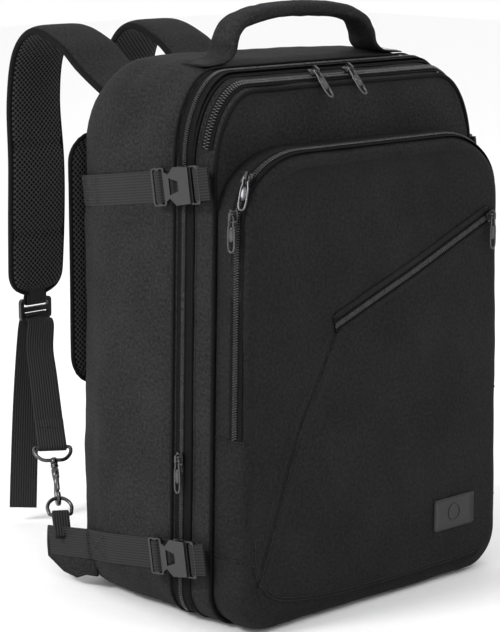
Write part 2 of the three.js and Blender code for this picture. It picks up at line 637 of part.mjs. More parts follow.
// Places a slider and its pull. at is the foot's centre, out points away from the cloth, zip lies along the
// zip, hang is the way the pull hangs, and droop turns the pull about its pin, past lying flat.
function zipSlider(name, { at, out, zip, hang, pull, droop = 0 }) {
  const z = out.clone().normalize();
  const y = hang.clone().addScaledVector(z, -hang.dot(z)).normalize().negate();
  const x = new THREE.Vector3().crossVectors(y, z);
  const footTurn = Math.atan2(-zip.dot(x), zip.dot(y));
  const slider = add(`${name}_slider`, sliderSolid(footTurn), gunmetal);
  slider.position.copy(at);
  slider.quaternion.setFromRotationMatrix(new THREE.Matrix4().makeBasis(x, y, z));
  const pullMesh = add(`${name}_pull`, pull.clone(), gunmetal);
  pullMesh.position.copy(at).addScaledVector(z, pullPivot);
  pullMesh.quaternion.copy(slider.quaternion);
  pullMesh.rotateX(droop);
}

const down = new THREE.Vector3(0, 0, -1);
const up = new THREE.Vector3(0, 0, 1);
const footLift = coilLift + coilHeight / 2 + gap; // height of a slider's foot over the cloth
const widthAt = (z) => halfWidth * (1 + taper * (0.5 - z / bagHeight));
const mainSliderZ = 162;
zipSlider('main_zip', {
  at: new THREE.Vector3(-widthAt(mainSliderZ) - footLift, zipY, mainSliderZ),
  out: new THREE.Vector3(-1, 0, 0), zip: up, hang: down, pull: ovalPull,
});

// The top pair meet over the middle, and their pulls hang forward over the front seam.
const topOut = new THREE.Vector3(0, -0.5, 0.87).normalize();
const topFoot = new THREE.Vector3(0, -117, 516.6).addScaledVector(topOut, footLift + 1.5);
[['top_left', -38, 1], ['top_right', 8, -1]].forEach(([name, x, towards]) => {
  zipSlider(name, {
    at: topFoot.clone().setX(x), out: topOut, zip: new THREE.Vector3(towards, 0, 0),
    hang: new THREE.Vector3(0, -1, 0), pull: squarePull, droop: THREE.MathUtils.degToRad(19),
  });
});

const pocketFootX = widthAt(380) - 1.6 + footLift + 0.9;
zipSlider('pocket_lower', {
  at: new THREE.Vector3(-pocketFootX, -160, 402), out: new THREE.Vector3(-1, -0.14, 0), zip: up, hang: down,
  pull: ovalPull,
});

// The upper pocket slider sits part of the way round the pocket's rounded corner.
const cornerTurn = THREE.MathUtils.degToRad(36); // how far up the quarter ellipse it sits
const cornerPoint = outline({ y: -160, inset: 1.6, high: 455, top: pocketCorner }, 90)
  .filter((p) => p.x < 0 && p.z > 455 - pocketCorner[1] * (1 - Math.sin(cornerTurn)))
  .reduce((lowest, p) => (p.z < lowest.z ? p : lowest));
const cornerOut = new THREE.Vector3(
  -Math.cos(cornerTurn) / pocketCorner[0], 0, Math.sin(cornerTurn) / pocketCorner[1],
).normalize();
zipSlider('pocket_upper', {
  at: cornerPoint.addScaledVector(cornerOut, footLift + 1.8),
  out: cornerOut.clone().add(new THREE.Vector3(0, -0.38, 0)),
  zip: new THREE.Vector3(cornerOut.z, 0, -cornerOut.x),
  hang: down, pull: ovalPull, droop: THREE.MathUtils.degToRad(13),
});

zipSlider('diagonal', {
  at: diagonalEnd.clone().add(new THREE.Vector3(-3, 0, -1.2)).setY(pocketY - coilHeight - 2 * gap),
  out: new THREE.Vector3(0, -1, 0),
  zip: new THREE.Vector3().subVectors(diagonalEnd, diagonalMiddle).normalize(),
  hang: down, pull: ovalPull,
});

export default bag;
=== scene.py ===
import json
import math

import bmesh
import bpy
import numpy as np
from bpy.props import FloatProperty, FloatVectorProperty, PointerProperty
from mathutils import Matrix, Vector

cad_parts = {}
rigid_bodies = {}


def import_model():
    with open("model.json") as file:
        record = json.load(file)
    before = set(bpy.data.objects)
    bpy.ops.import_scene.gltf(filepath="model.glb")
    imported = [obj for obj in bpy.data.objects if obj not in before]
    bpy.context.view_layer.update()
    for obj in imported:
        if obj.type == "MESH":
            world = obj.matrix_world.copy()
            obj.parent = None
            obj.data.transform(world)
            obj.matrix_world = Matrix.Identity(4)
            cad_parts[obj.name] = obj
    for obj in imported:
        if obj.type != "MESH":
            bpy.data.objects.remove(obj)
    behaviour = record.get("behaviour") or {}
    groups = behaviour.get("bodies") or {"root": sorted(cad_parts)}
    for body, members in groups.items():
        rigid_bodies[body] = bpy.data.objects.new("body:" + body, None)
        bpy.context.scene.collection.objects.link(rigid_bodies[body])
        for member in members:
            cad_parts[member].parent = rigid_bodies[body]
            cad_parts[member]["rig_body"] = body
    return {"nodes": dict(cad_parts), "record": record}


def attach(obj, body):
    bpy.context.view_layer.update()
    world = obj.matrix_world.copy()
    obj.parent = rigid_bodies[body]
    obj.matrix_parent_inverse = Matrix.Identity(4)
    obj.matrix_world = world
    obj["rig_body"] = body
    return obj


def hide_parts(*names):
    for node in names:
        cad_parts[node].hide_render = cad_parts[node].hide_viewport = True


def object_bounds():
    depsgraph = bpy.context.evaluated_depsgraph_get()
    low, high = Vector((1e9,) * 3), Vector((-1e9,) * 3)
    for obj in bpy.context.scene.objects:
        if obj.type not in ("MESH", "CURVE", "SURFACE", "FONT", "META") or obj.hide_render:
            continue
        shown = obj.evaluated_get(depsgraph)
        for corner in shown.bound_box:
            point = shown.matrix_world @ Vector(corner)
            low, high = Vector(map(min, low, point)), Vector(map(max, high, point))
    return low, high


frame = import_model()
cad_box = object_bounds()

bl_info = {
    "name": "Travel Backpack",
    "version": (1, 0, 0),
    "blender": (4, 5, 0),
    "location": "View3D > Sidebar > Backpack",
    "description": "Builds the cloth, padding, zips and hardware of a carry-on travel backpack",
    "category": "Add Mesh",
}

# The bag's own sizes, in millimetres.
HALF_WIDTH = 179.0
TAPER = 0.056
SEAM_HEIGHT = 511.0
ZIP_Y = -90.0
FRONT_Y = -130.0
POCKET_Y = -173.0
BACK_Y = 79.0
WEBBING = 31.0
MAIN_SECTIONS = [
    # y, inset, low, high, top corner across, top corner up, bottom corner
    (-89.7, 0, 0, 525, 52, 80, 36),
    (-50, -4, 0, 530, 54, 82, 36),
    (10, -5, 0, 532, 58, 84, 36),
    (45, -1, 0, 529, 62, 84, 36),
    (66, 6, 3, 521, 64, 82, 36),
    (76, 16, 9, 511, 64, 78, 40),
    (79, 26, 18, 500, 62, 74, 40),
]
FRONT_SECTIONS = [
    (-90.3, 0, 0.4, 525, 52, 80, 36),
    (-110, -1, 0.6, 519, 52, 80, 36),
    (-126, 0, 1.2, 511, 51, 78, 36),
    (-130, 3, 4, 508, 49, 76, 36),
]
POCKET_SECTIONS = [
    (-130.3, 3, 3, 457, 78, 60, 36),
    (-150, 1, 2, 457, 78, 60, 36),
    (-165, 3, 3, 453, 77, 59, 36),
    (-171, 6, 6, 448, 75, 57, 38),
    (-173, 12, 12, 441, 71, 53, 36),
]
TOP_CORNER = (52, 80)
POCKET_CORNER = (78, 60)
POCKET_ZIP_Y = -160.0
ORGANISER_ZIP_Y = -117.0
HANDLE_Y = -54.0
PAD_X = 66.0
PAD_WIDTH = 68.0
PAD_THICKNESS = 12.6
PAD_ROUTE = [  # y, z of a shoulder pad's middle line, from its root over the top and down to its end
    (89, 466), (102, 482), (124, 492), (160, 512), (192, 533), (238, 546), (270, 522), (281, 470),
    (278, 400), (280, 330), (284, 258),
]

MM = 0.001
SHARP_EDGE = math.radians(32)
CLOTH_FRAMES = 20
FACE_OUT = [0, -1, 0]


# ---- shader helpers ---------------------------------------------------------------------------------


class Value:
    """A socket of a shader tree. Arithmetic on it adds the Math nodes that work it out."""

    def __init__(self, shader, socket):
        self.shader = shader
        self.socket = socket

    def math(self, operation, *others):
        """The result of a Math node on it and the others."""
        inputs = dict(enumerate([self, *others]))
        return self.shader.node("ShaderNodeMath", inputs, operation=operation)

    def __add__(self, other):
        return self.math("ADD", other)

    __radd__ = __add__

    def __mul__(self, other):
        return self.math("MULTIPLY", other)

    __rmul__ = __mul__

    def __sub__(self, other):
        return self.math("SUBTRACT", other)

    def __rsub__(self, other):
        return (self * -1.0).math("ADD", other)

    def sine(self):
        """Its sine, in radians."""
        return self.math("SINE")

    def size(self):
        """It without its sign."""
        return self.math("ABSOLUTE")

    def clipped(self, low, high):
        """0 below low, 1 above high, and a ramp between."""
        inputs = {"Value": self, "From Min": low, "From Max": high}
        return self.shader.node("ShaderNodeMapRange", inputs, clamp=True)


class Shader:
    """One material, made of a Principled shader and the nodes that feed it."""

    def __init__(self, name, **constants):
        self.material = bpy.data.materials.new(name + "_finish")
        self.material.use_nodes = True
        self.tree = self.material.node_tree
        self.principled = self.tree.nodes["Principled BSDF"]
        for key, value in constants.items():
            self.principled.inputs[key.replace("_", " ")].default_value = value

    def node(self, kind, inputs=None, out=0, stops=None, **options):
        """Adds a node: its options and colour stops first, then the values or links of its sockets."""
        node = self.tree.nodes.new(kind)
        for key, value in options.items():
            setattr(node, key, value)
        if stops:
            ramp = node.color_ramp.elements
            while len(ramp) < len(stops):
                ramp.new(0.5)
            for element, (position, colour) in zip(ramp, stops):
                element.position = position
                element.color = (*colour, 1.0)
        for key, value in (inputs or {}).items():
            if isinstance(value, Value):
                self.tree.links.new(value.socket, node.inputs[key])
            else:
                node.inputs[key].default_value = value
        return Value(self, node.outputs[out])

    def coordinates(self, kind="UV"):
        """Texture coordinates of that kind."""
        return self.node("ShaderNodeTexCoord", out=kind)

    def noise(self, at, scale, detail=3.0, roughness=0.55):
        """Fractal noise at those coordinates."""
        inputs = {"Vector": at, "Scale": scale, "Detail": detail, "Roughness": roughness}
        return self.node("ShaderNodeTexNoise", inputs)

    def shade(self, factor, dark, light):
        """A colour between dark and light, by factor."""
        return self.node("ShaderNodeValToRGB", {"Fac": factor}, stops=[(0.0, dark), (1.0, light)])

    def finish(self, colour=None, roughness=None, height=None, depth=0.0003, strength=1.0):
        """Links what is given to the Principled shader, height by way of a bump, and returns the material."""
        if colour:
            self.tree.links.new(colour.socket, self.principled.inputs["Base Color"])
        if roughness:
            self.tree.links.new(roughness.socket, self.principled.inputs["Roughness"])
        if height:
            bump = self.node("ShaderNodeBump", {"Height": height, "Distance": depth, "Strength": strength})
            self.tree.links.new(bump.socket, self.principled.inputs["Normal"])
        return self.material


def tinted(colour, share):
    """The colour made darker or lighter by that share."""
    return tuple(min(1.0, c * share) for c in colour)


def cloth_finish(name, colour, thread=1.1, coordinates="UV"):
    """Plain-woven polyester: crossing threads at the given pitch in millimetres, with a slight mottle."""
    shader = Shader(name, Roughness=0.8, Specular_IOR_Level=0.12)
    at = shader.coordinates(coordinates)
    along = shader.node("ShaderNodeSeparateXYZ", {"Vector": at})
    across = Value(shader, along.socket.node.outputs[2 if coordinates == "Object" else 1])
    rate = 2 * math.pi / (thread * MM)
    weave = (along * rate).sine() * (across * rate).sine()
    mottle = shader.noise(at, 330.0, 4.0, 0.65)
    cloud = shader.noise(at, 14.0, 2.0)
    tone = (mottle * 0.8 + cloud * 0.2 + weave * 0.07).clipped(0.36, 0.66)
    colour_out = shader.shade(tone, tinted(colour, 0.35), tinted(colour, 1.75))
    roughness = mottle * 0.16 + 0.7
    return shader.finish(colour_out, roughness, weave * 0.35 + mottle * 1.1, 0.0004, 0.9)


def webbing_finish(name, colour):
    """Ribbed webbing: cords along it 2.6 mm apart, crossed by zigzag ribs, and paler at its edges."""
    shader = Shader(name, Roughness=0.7, Specular_IOR_Level=0.15)
    at = shader.coordinates()
    along = shader.node("ShaderNodeSeparateXYZ", {"Vector": at})
    across = Value(shader, along.socket.node.outputs[1])
    rib, zigzag = 2 * math.pi / 0.0026, 2 * math.pi / 0.0034
    ribs = (along * rib + (across * zigzag).sine() * 0.9).sine()
    cords = (across * rib).sine()
    fuzz = shader.noise(at, 900.0, 2.0)
    height = ribs * 0.15 + cords * 0.8 + fuzz * 0.3
    edge = (across - WEBBING / 2 * MM).size().clipped(0.0135, 0.0152)
    tone = (height * 0.34 + 0.36 + edge * 0.2).clipped(0.0, 1.0)
    colour_out = shader.shade(tone, tinted(colour, 0.62), tinted(colour, 1.3))
    return shader.finish(colour_out, fuzz * 0.15 + 0.62, height, 0.0004, 0.9)


def air_mesh_finish(name, colour):
    """Air mesh: a lattice of diamond holes 5.6 mm apart, dark inside and raised between."""
    shader = Shader(name, Roughness=0.85, Specular_IOR_Level=0.12)
    at = shader.coordinates()
    u = shader.node("ShaderNodeSeparateXYZ", {"Vector": at})
    v = Value(shader, u.socket.node.outputs[1])
    rate = math.pi / 0.0056
    hole = ((u + v) * rate).sine().size() * ((u - v) * rate).sine().size()
    open_share = hole.clipped(0.28, 0.55)
    fuzz = shader.noise(at, 1200.0, 2.0)
    tone = (1.0 - open_share) * 0.85 + fuzz * 0.15
    # The near-black inside the holes is painted shade of the recesses; the lattice between them is lighter.
    colour_out = shader.shade(tone, tinted(colour, 0.05), tinted(colour, 3.0))
    return shader.finish(colour_out, fuzz * 0.1 + 0.78, (1.0 - open_share) + fuzz * 0.2, 0.0012, 1.0)


def plastic_finish(name, colour, roughness=0.36, grain=1500.0):
    """Moulded plastic: fine spark grain, a little smoother where hands rub it."""
    shader = Shader(name, Specular_IOR_Level=0.5, Coat_Weight=0.08, Coat_Roughness=0.3)
    at = shader.coordinates("Object")
    fine = shader.noise(at, grain, 2.0)
    broad = shader.noise(at, 60.0, 2.0)
    colour_out = shader.shade(broad, tinted(colour, 0.75), tinted(colour, 1.3))
    return shader.finish(colour_out, broad * 0.14 + (roughness - 0.06), fine, 0.0001, 0.5)


def metal_finish(name, colour):
    """Black nickel on cast zinc: dark and bright, with faint casting ripple and rubbed patches."""
    shader = Shader(name, Metallic=1.0, Specular_IOR_Level=0.5)
    at = shader.coordinates("Object")
    ripple = shader.noise(at, 260.0, 3.0)
    rub = shader.noise(at, 45.0, 2.0)
    colour_out = shader.shade(rub, tinted(colour, 0.75), tinted(colour, 1.35))
    return shader.finish(colour_out, ripple * 0.16 + rub * 0.1 + 0.16, ripple, 0.0001, 0.5)


def settings():
    """The values in the sidebar's panel."""
    return bpy.context.scene.backpack


FINISHES = {}


def material(key):
    """The material of that key, made on first use."""
    if key in FINISHES:
        return FINISHES[key]
    look = settings()
    makers = {
        "shell_cloth": lambda: cloth_finish("shell_cloth", look.shell_colour),
        # Pocket cloth: the shell's cloth with a darker colour, painted shade of the less lit front face.
        "face_cloth": lambda: cloth_finish("face_cloth", look.shaded_face_colour),
        "lining_cloth": lambda: cloth_finish("lining_cloth", look.lining_colour, 0.7),
        # Tapes, piping and bindings take the face colour darkened to 0.4: painted shade of the grooves beside zips
        # and seams.
        "binding_tape": lambda: cloth_finish("binding_tape", tinted(look.shaded_face_colour, 0.4), 0.8),
        "webbing": lambda: webbing_finish("webbing", look.webbing_colour),
        "air_mesh": lambda: air_mesh_finish("air_mesh", look.mesh_colour),
        "buckle_plastic": lambda: plastic_finish("buckle_plastic", look.plastic_colour),
        "coil_plastic": lambda: plastic_finish("coil_plastic", look.coil_colour, 0.26, 900.0),
        "stiffener_plastic": lambda: plastic_finish("stiffener_plastic", (0.06, 0.06, 0.065), 0.5, 300.0),
        "patch_rubber": lambda: plastic_finish("patch_rubber", look.patch_colour, 0.6, 700.0),
        "thread": lambda: cloth_finish("thread", tinted(look.webbing_colour, 1.9), 0.5, "Object"),
        "gunmetal": lambda: metal_finish("gunmetal", look.metal_colour),
    }
    FINISHES[key] = makers[key]()
    return FINISHES[key]


# ---- mesh helpers -----------------------------------------------------------------------------------


def grid_faces(rows, columns, start, wrap):
    """Quads of a grid of rows by columns; wrap joins the last column to the first."""
    r = np.arange(rows - 1)[:, None]
    c = np.arange(columns if wrap else columns - 1)[None, :]
    n = (c + 1) % columns
    quads = np.stack([r * columns + c, r * columns + n, (r + 1) * columns + n, (r + 1) * columns + c], -1)
    return quads.reshape(-1, 4) + start


def lengths(points):
    """Distance run along the first axis of a grid of points."""
    steps = np.linalg.norm(np.diff(points, axis=0), axis=-1)
    return np.concatenate([np.zeros((1,) + steps.shape[1:]), np.cumsum(steps, 0)])


def sampled(at, run, field):
    """The field's rows, known at the distances run, at the distances at."""
    return np.stack([np.interp(at, run, field[:, k]) for k in range(field.shape[1])], -1)


def flat_coordinates(grid):
    """UV of a grid of points in metres: the mean distance run down the rows and across the columns."""
    down = lengths(grid).mean(1)
    over = lengths(np.swapaxes(grid, 0, 1)).mean(1)
    return np.stack(np.broadcast_arrays(down[:, None], over[None, :]), -1) * MM


def piece(name, patches, key, body, replaces=(), weld=0.01, thickness=0.0, slot=None):
    """One object from patches of (grid, wrap) or (points, quads, uv), welded and turned out. Millimetres."""
    points, faces, coordinates, start = [], [], [], 0
    for patch in patches:
        if len(patch) == 3:
            corners, quads, uv = patch
            faces.append(quads + start)
        else:
            grid, wrap = patch
            corners = grid.reshape(-1, 3)
            uv = flat_coordinates(grid).reshape(-1, 2)
            faces.append(grid_faces(grid.shape[0], grid.shape[1], start, wrap))
        points.append(corners)
        coordinates.append(uv)
        start += len(corners)
    points, faces = np.concatenate(points) * MM, np.concatenate(faces)
    coordinates = np.concatenate(coordinates)
    mesh = bpy.data.meshes.new(name)
    mesh.from_pydata(points, [], faces)
    layer = mesh.uv_layers.new(name="UVMap")
    layer.data.foreach_set("uv", coordinates[faces.ravel()].ravel().astype(np.float32))
    shape = bmesh.new()
    shape.from_mesh(mesh)
    if weld:
        bmesh.ops.remove_doubles(shape, verts=shape.verts, dist=weld * MM)
        bmesh.ops.dissolve_degenerate(shape, edges=shape.edges, dist=1e-7)
    bmesh.ops.recalc_face_normals(shape, faces=shape.faces)
    shape.to_mesh(mesh)
    shape.free()
    mesh.polygons.foreach_set("use_smooth", np.ones(len(mesh.polygons), bool))
    made = bpy.data.objects.new(name, mesh)
    bpy.context.scene.collection.objects.link(made)
    mesh.materials.append(material(key))
    if thickness:
        add_wall(made, thickness)
    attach(made, body)
    if replaces:
        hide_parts(*replaces)
    return made


def add_wall(made, thickness):
    """Gives the sheet its thickness in millimetres, inwards."""
    wall = made.modifiers.new("Wall", "SOLIDIFY")
    wall.thickness = thickness * MM
    wall.offset = -1


def vertices(made):
    """Places of the vertices, in metres."""
    points = np.zeros(len(made.data.vertices) * 3, np.float32)
    made.data.vertices.foreach_get("co", points)
    return points.reshape(-1, 3).astype(float)


def normals(made):
    """Outward directions of the vertices."""
    found = np.zeros(len(made.data.vertices) * 3, np.float32)
    made.data.vertices.foreach_get("normal", found)
    return found.reshape(-1, 3).astype(float)


def place(made, points):
    """Moves the vertices to the points, in metres."""
    made.data.vertices.foreach_set("co", points.astype(np.float32).ravel())
    made.data.update()


def ripple(points, wavelength, seed):
    """Smooth folds, mostly between -1 and 1: twelve sine waves in seeded directions. Millimetres."""
    random = np.random.RandomState(seed)
    directions = random.normal(size=(12, 3))
    directions /= np.linalg.norm(directions, axis=1, keepdims=True)
    rates = 2 * np.pi / (wavelength * random.uniform(0.6, 1.8, 12))
    phases = random.uniform(0, 2 * np.pi, 12)
    return np.sin(points @ directions.T * rates + phases).sum(1) / 5.0


def ruffle(made, depth, wavelength, seed, mask=None):
    """Moves each vertex along its normal by the ripple, times the mask where one is given."""
    points = vertices(made)
    move = ripple(points * 1000, wavelength, seed) * depth * MM
    if mask is not None:
        move = move * mask(points * 1000)
    place(made, points + normals(made) * move[:, None])


def inflate(made, sewn, cap, pressure=4.0):
    """Cloth under pressure with its sewn vertices held. No vertex moves more than cap, in millimetres."""
    start = vertices(made)
    group = made.vertex_groups.new(name="sewn")
    group.add(np.flatnonzero(sewn).tolist(), 1.0, "REPLACE")
    cloth = made.modifiers.new("Cloth", "CLOTH")
    cloth.settings.quality = 4
    cloth.settings.use_pressure = True
    cloth.settings.uniform_pressure_force = pressure
    cloth.settings.vertex_group_mass = "sewn"
    cloth.settings.effector_weights.gravity = 0.0
    cloth.collision_settings.use_collision = False
    cloth.point_cache.frame_start, cloth.point_cache.frame_end = 1, CLOTH_FRAMES
    scene = bpy.context.scene
    for step in range(1, CLOTH_FRAMES + 1):
        scene.frame_set(step)
        bpy.context.view_layer.update()
    swollen = made.evaluated_get(bpy.context.evaluated_depsgraph_get()).to_mesh()
    points = np.zeros(len(swollen.vertices) * 3, np.float32)
    swollen.vertices.foreach_get("co", points)
    move = points.reshape(-1, 3).astype(float) - start
    made.modifiers.remove(cloth)
    made.vertex_groups.remove(group)
    scene.frame_set(1)
    size = np.linalg.norm(move, axis=1, keepdims=True)
    place(made, start + move * np.minimum(1.0, cap * MM / np.maximum(size, 1e-9)))


def curve(points, count, closed=False):
    """A smooth line through the points: a uniform Catmull-Rom spline, sampled evenly by its length."""
    points = np.asarray(points, float)
    if closed:
        padded = np.concatenate([points[-1:], points, points[:2]])
    else:
        first, last = 2 * points[:1] - points[1:2], 2 * points[-1:] - points[-2:-1]
        padded = np.concatenate([first, points, last])
    a, b, c, d = padded[:-3], padded[1:-2], padded[2:-1], padded[3:]
    t = np.linspace(0, 1, 24, endpoint=False)[None, :, None]
    a, b, c, d = (p[:, None, :] for p in (a, b, c, d))
    fine = 0.5 * (2 * b + (c - a) * t + (2 * a - 5 * b + 4 * c - d) * t**2 + (3 * b - a - 3 * c + d) * t**3)
    fine = np.concatenate([fine.reshape(-1, points.shape[1]), points[:1] if closed else points[-1:]])
    run = lengths(fine)
    at = np.linspace(0, run[-1], count + 1 if closed else count)
    even = sampled(at, run, fine)
    return even[:-1] if closed else even


def unit(v):
    """The vectors at length one."""
    return v / np.maximum(np.linalg.norm(v, axis=-1, keepdims=True), 1e-12)


def tangents(path, closed=False):
    """Directions along a path."""
    if closed:
        return unit(np.roll(path, -1, 0) - np.roll(path, 1, 0))
    return unit(np.gradient(path, axis=0))


def swept(path, side, profile, closed=False):
    """A profile of (across, out) carried along a path: across is along side, out is side cross tangent."""
    along = tangents(path, closed)
    side = np.broadcast_to(np.asarray(side, float), path.shape)
    side = unit(side - (side * along).sum(-1, keepdims=True) * along)
    out = np.cross(side, along)
    profile = np.asarray(profile, float)
    profile = profile if profile.ndim == 3 else profile[None]
    grid = path[:, None] + side[:, None] * profile[..., :1] + out[:, None] * profile[..., 1:]
    if closed:
        grid = np.concatenate([grid, grid[:1]])
    else:
        centre = np.broadcast_to(grid.mean(1, keepdims=True), grid.shape)
        grid = np.concatenate([centre[:1], grid, centre[-1:]])
    return grid, True


def oval(width, height, count=12, power=1.0):
    """A closed oval profile; a power below 1 squares it."""
    angle = np.linspace(0, 2 * np.pi, count, endpoint=False)
    c, s = np.cos(angle), np.sin(angle)
    shape = lambda v: np.sign(v) * np.abs(v) ** power
    return np.stack([shape(c) * width / 2, shape(s) * height / 2], -1)


def tube(path, radius, closed=False, sides=12):
    """A round rod along a path. Its side stays square to a direction that no path here follows."""
    aside = np.array([0.31, 0.87, 0.38])
    side = unit(np.cross(tangents(path, closed), aside))
    return swept(path, side, oval(2 * radius, 2 * radius, sides), closed)


def side_line(section, arc=12, straight=64):
    """Right-hand side of an outline as x and z, from the end of its flat bottom to that of its flat top."""
    _, inset, low, high, top, rise, bottom = section
    half = HALF_WIDTH - inset
    lower = np.linspace(-np.pi / 2, 0, arc + 1)
    upper = np.linspace(0, np.pi / 2, arc + 1)
    plain = np.linspace(low + bottom, high - rise, straight + 1)[1:-1]
    x = np.concatenate([half - bottom + bottom * np.cos(lower), np.full(len(plain), half),
                        half - top + top * np.cos(upper)])
    z = np.concatenate([low + bottom + bottom * np.sin(lower), plain, high - rise + rise * np.sin(upper)])
    return x * (1 + TAPER * (0.5 - z / SEAM_HEIGHT)), z


def panel(section, columns=72, arc=12, straight=64):
    """A grid over the inside of an outline: x = s times the half width at that row, s from -1 to 1."""
    x, z = side_line(section, arc, straight)
    s = np.linspace(-1, 1, columns + 1)
    return np.stack([s[None, :] * x[:, None], np.full((len(x), columns + 1), section[0]),
                     np.repeat(z[:, None], columns + 1, 1)], -1)


def rim(grid):
    """The border of a grid of points as one loop."""
    return np.concatenate([grid[0, :-1], grid[:-1, -1], grid[-1, :0:-1], grid[:0:-1, 0]])


def blended(sections, count):
    """The sections with smooth steps between them."""
    return [tuple(row) for row in curve(np.array(sections, float), count)]


def loft(sections, count, **shape):
    """The wall that runs through the outlines, as a grid of rings."""
    rings = np.stack([rim(panel(s, **shape)) for s in blended(sections, count)])
    return rings, True


def outline_path(y, lift, high, inset=0.0, low=0.0, top=TOP_CORNER, bottom=36.0, count=900):
    """A closed path round an outline at depth y, lifted off it, with its outward directions."""
    path = rim(panel((y, inset - lift, low - lift, high + lift, *top, bottom)))
    path = curve(path, count, closed=True)
    return path, unit(np.cross([0.0, 1.0, 0.0], tangents(path, True)))


def half_width(z, inset=0.0):
    """Half the bag's width at that height."""
    return (HALF_WIDTH - inset) * (1 + TAPER * (0.5 - z / SEAM_HEIGHT))


def near(points, line):
    """Distance of each 2-D point to a polyline."""
    line = np.asarray(line, float)
    a, b = line[:-1], line[1:]
    span = b - a
    share = ((points[:, None] - a) * span).sum(-1) / np.maximum((span**2).sum(-1), 1e-9)
    foot = a + np.clip(share, 0, 1)[..., None] * span
    return np.linalg.norm(points[:, None] - foot, axis=-1).min(1)


def from_ends(count):
    """How far each of count even steps lies from the nearer end, 0 at the ends and 0.5 in the middle."""
    return np.minimum(np.linspace(0, 1, count), np.linspace(1, 0, count))


def profile_between(profile, width, height):
    """The unit profile scaled along a path, as one profile for each of its points."""
    return profile[None] * np.stack([width, height], -1)[:, None]


def copies(template, quads, origins, axes):
    """The template at each origin, turned to its axes, as one patch."""
    points = np.einsum("kj,njd->nkd", template, axes) + origins[:, None]
    offset = np.arange(len(origins))[:, None, None] * len(template)
    faces = quads[None] + offset
    uv = np.zeros((len(origins) * len(template), 2))
    return points.reshape(-1, 3), faces.reshape(-1, 4), uv


# A unit box, and its faces.
BOX = np.array([[x, y, z] for x in (-0.5, 0.5) for y in (-0.5, 0.5) for z in (-0.5, 0.5)], float)
BOX_QUADS = np.array([[0, 1, 3, 2], [4, 6, 7, 5], [0, 4, 5, 1], [2, 3, 7, 6], [0, 2, 6, 4], [1, 5, 7, 3]])


def stitches(path, out, pitch=3.4, length=2.5, width=0.62):
    """A row of thread bars along a path, each sunk at its ends."""
    run = lengths(path)
    at = np.arange(pitch / 2, run[-1], pitch)
    origin = sampled(at, run, path)
    along = unit(sampled(at, run, tangents(path)))
    out = unit(sampled(at, run, np.broadcast_to(np.asarray(out, float), path.shape)))
    side = np.cross(out, along)
    template = BOX * [length, width, width * 0.8]
    template[:, 1:] *= np.where(np.abs(template[:, :1]) > 0, 0.75, 1.0)
    return copies(template, BOX_QUADS, origin, np.stack([along, side, out], 1))


def zip_teeth(path, out, pitch, tooth, column):
    """One column of zip teeth: rounded bars across the path, leaning a little, column being -1 or 1."""
    run = lengths(path)
    at = np.arange(pitch * (0.5 + 0.25 * column), run[-1], pitch)
    along, out = unit(sampled(at, run, tangents(path))), unit(sampled(at, run, out))
    side = unit(np.cross(out, along)) * column
    length, width, height = tooth
    angle = np.linspace(0, 2 * np.pi, 6, endpoint=False)
    ring = np.stack([np.cos(angle) * width / 2, np.sin(angle) * height / 2], -1)
    stations = np.array([[-0.12, 0.35], [0.0, 0.9], [0.7, 1.0], [1.0, 0.45]])
    template = np.concatenate([
        np.column_stack([np.full(6, length * s), ring[:, 0] * g, ring[:, 1] * g]) for s, g in stations])
    quads = grid_faces(4, 6, 0, True)
    ends = np.array([[0, 1, 2, 3], [0, 3, 4, 5], [21, 20, 19, 18], [23, 22, 21, 18]])
    origin = sampled(at, run, path)
    return copies(template, np.concatenate([quads, ends]), origin, np.stack([side, along, out], 1))


def mirrored(patches):
    """The patches across the bag's middle plane."""
    turn = np.array([-1.0, 1.0, 1.0])
    return [(patch[0] * turn, *patch[1:]) for patch in patches]


def both(name, patches, key, body, replaces=(), **more):
    """The left piece and its mirrored twin; name, body and replaced nodes each say left."""
    other = lambda text: text.replace("left", "right")
    left = piece(name, patches, key, body, replaces, **more)
    right = piece(other(name), mirrored(patches), key, other(body), [other(n) for n in replaces], **more)
    return left, right


def refined(node, key, bevel=0.35):
    """A CAD piece with its edges rounded: a merged copy of its mesh, flat faces joined, with a bevel."""
    source = frame["nodes"][node]
    mesh = source.data.copy()
    shape = bmesh.new()
    shape.from_mesh(mesh)
    bmesh.ops.remove_doubles(shape, verts=shape.verts, dist=2e-6)
    bmesh.ops.dissolve_limit(shape, angle_limit=math.radians(1.5), verts=shape.verts, edges=shape.edges)
    shape.to_mesh(mesh)
    shape.free()
    mesh.polygons.foreach_set("use_smooth", np.ones(len(mesh.polygons), bool))
    mesh.set_sharp_from_angle(angle=SHARP_EDGE)
    mesh.materials.clear()
    mesh.materials.append(material(key))
    made = bpy.data.objects.new(node + "_finished", mesh)
    bpy.context.scene.collection.objects.link(made)
    edge = made.modifiers.new("Edges", "BEVEL")
    edge.width = bevel * MM
    edge.segments = 2
    edge.limit_method = "ANGLE"
    edge.angle_limit = SHARP_EDGE
    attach(made, source["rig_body"])
    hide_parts(node)
    return made


def strip(width, height, count=10):
    """Profile of a flat strip with rounded edges, lying on its path."""
    return oval(width, height, count * 2, 0.35) + [0.0, height / 2]


def shift(path, y):
    """The path moved along y."""
    return path + [0.0, y, 0.0]


def above(path, out, height):
    """The open run of a closed loop that lies over a height, from the right side over the top to the left."""
    keep = path[:, 2] > height
    return path[keep], out[keep]


# ---- bodies of the bag ------------------------------------------------------------------------------


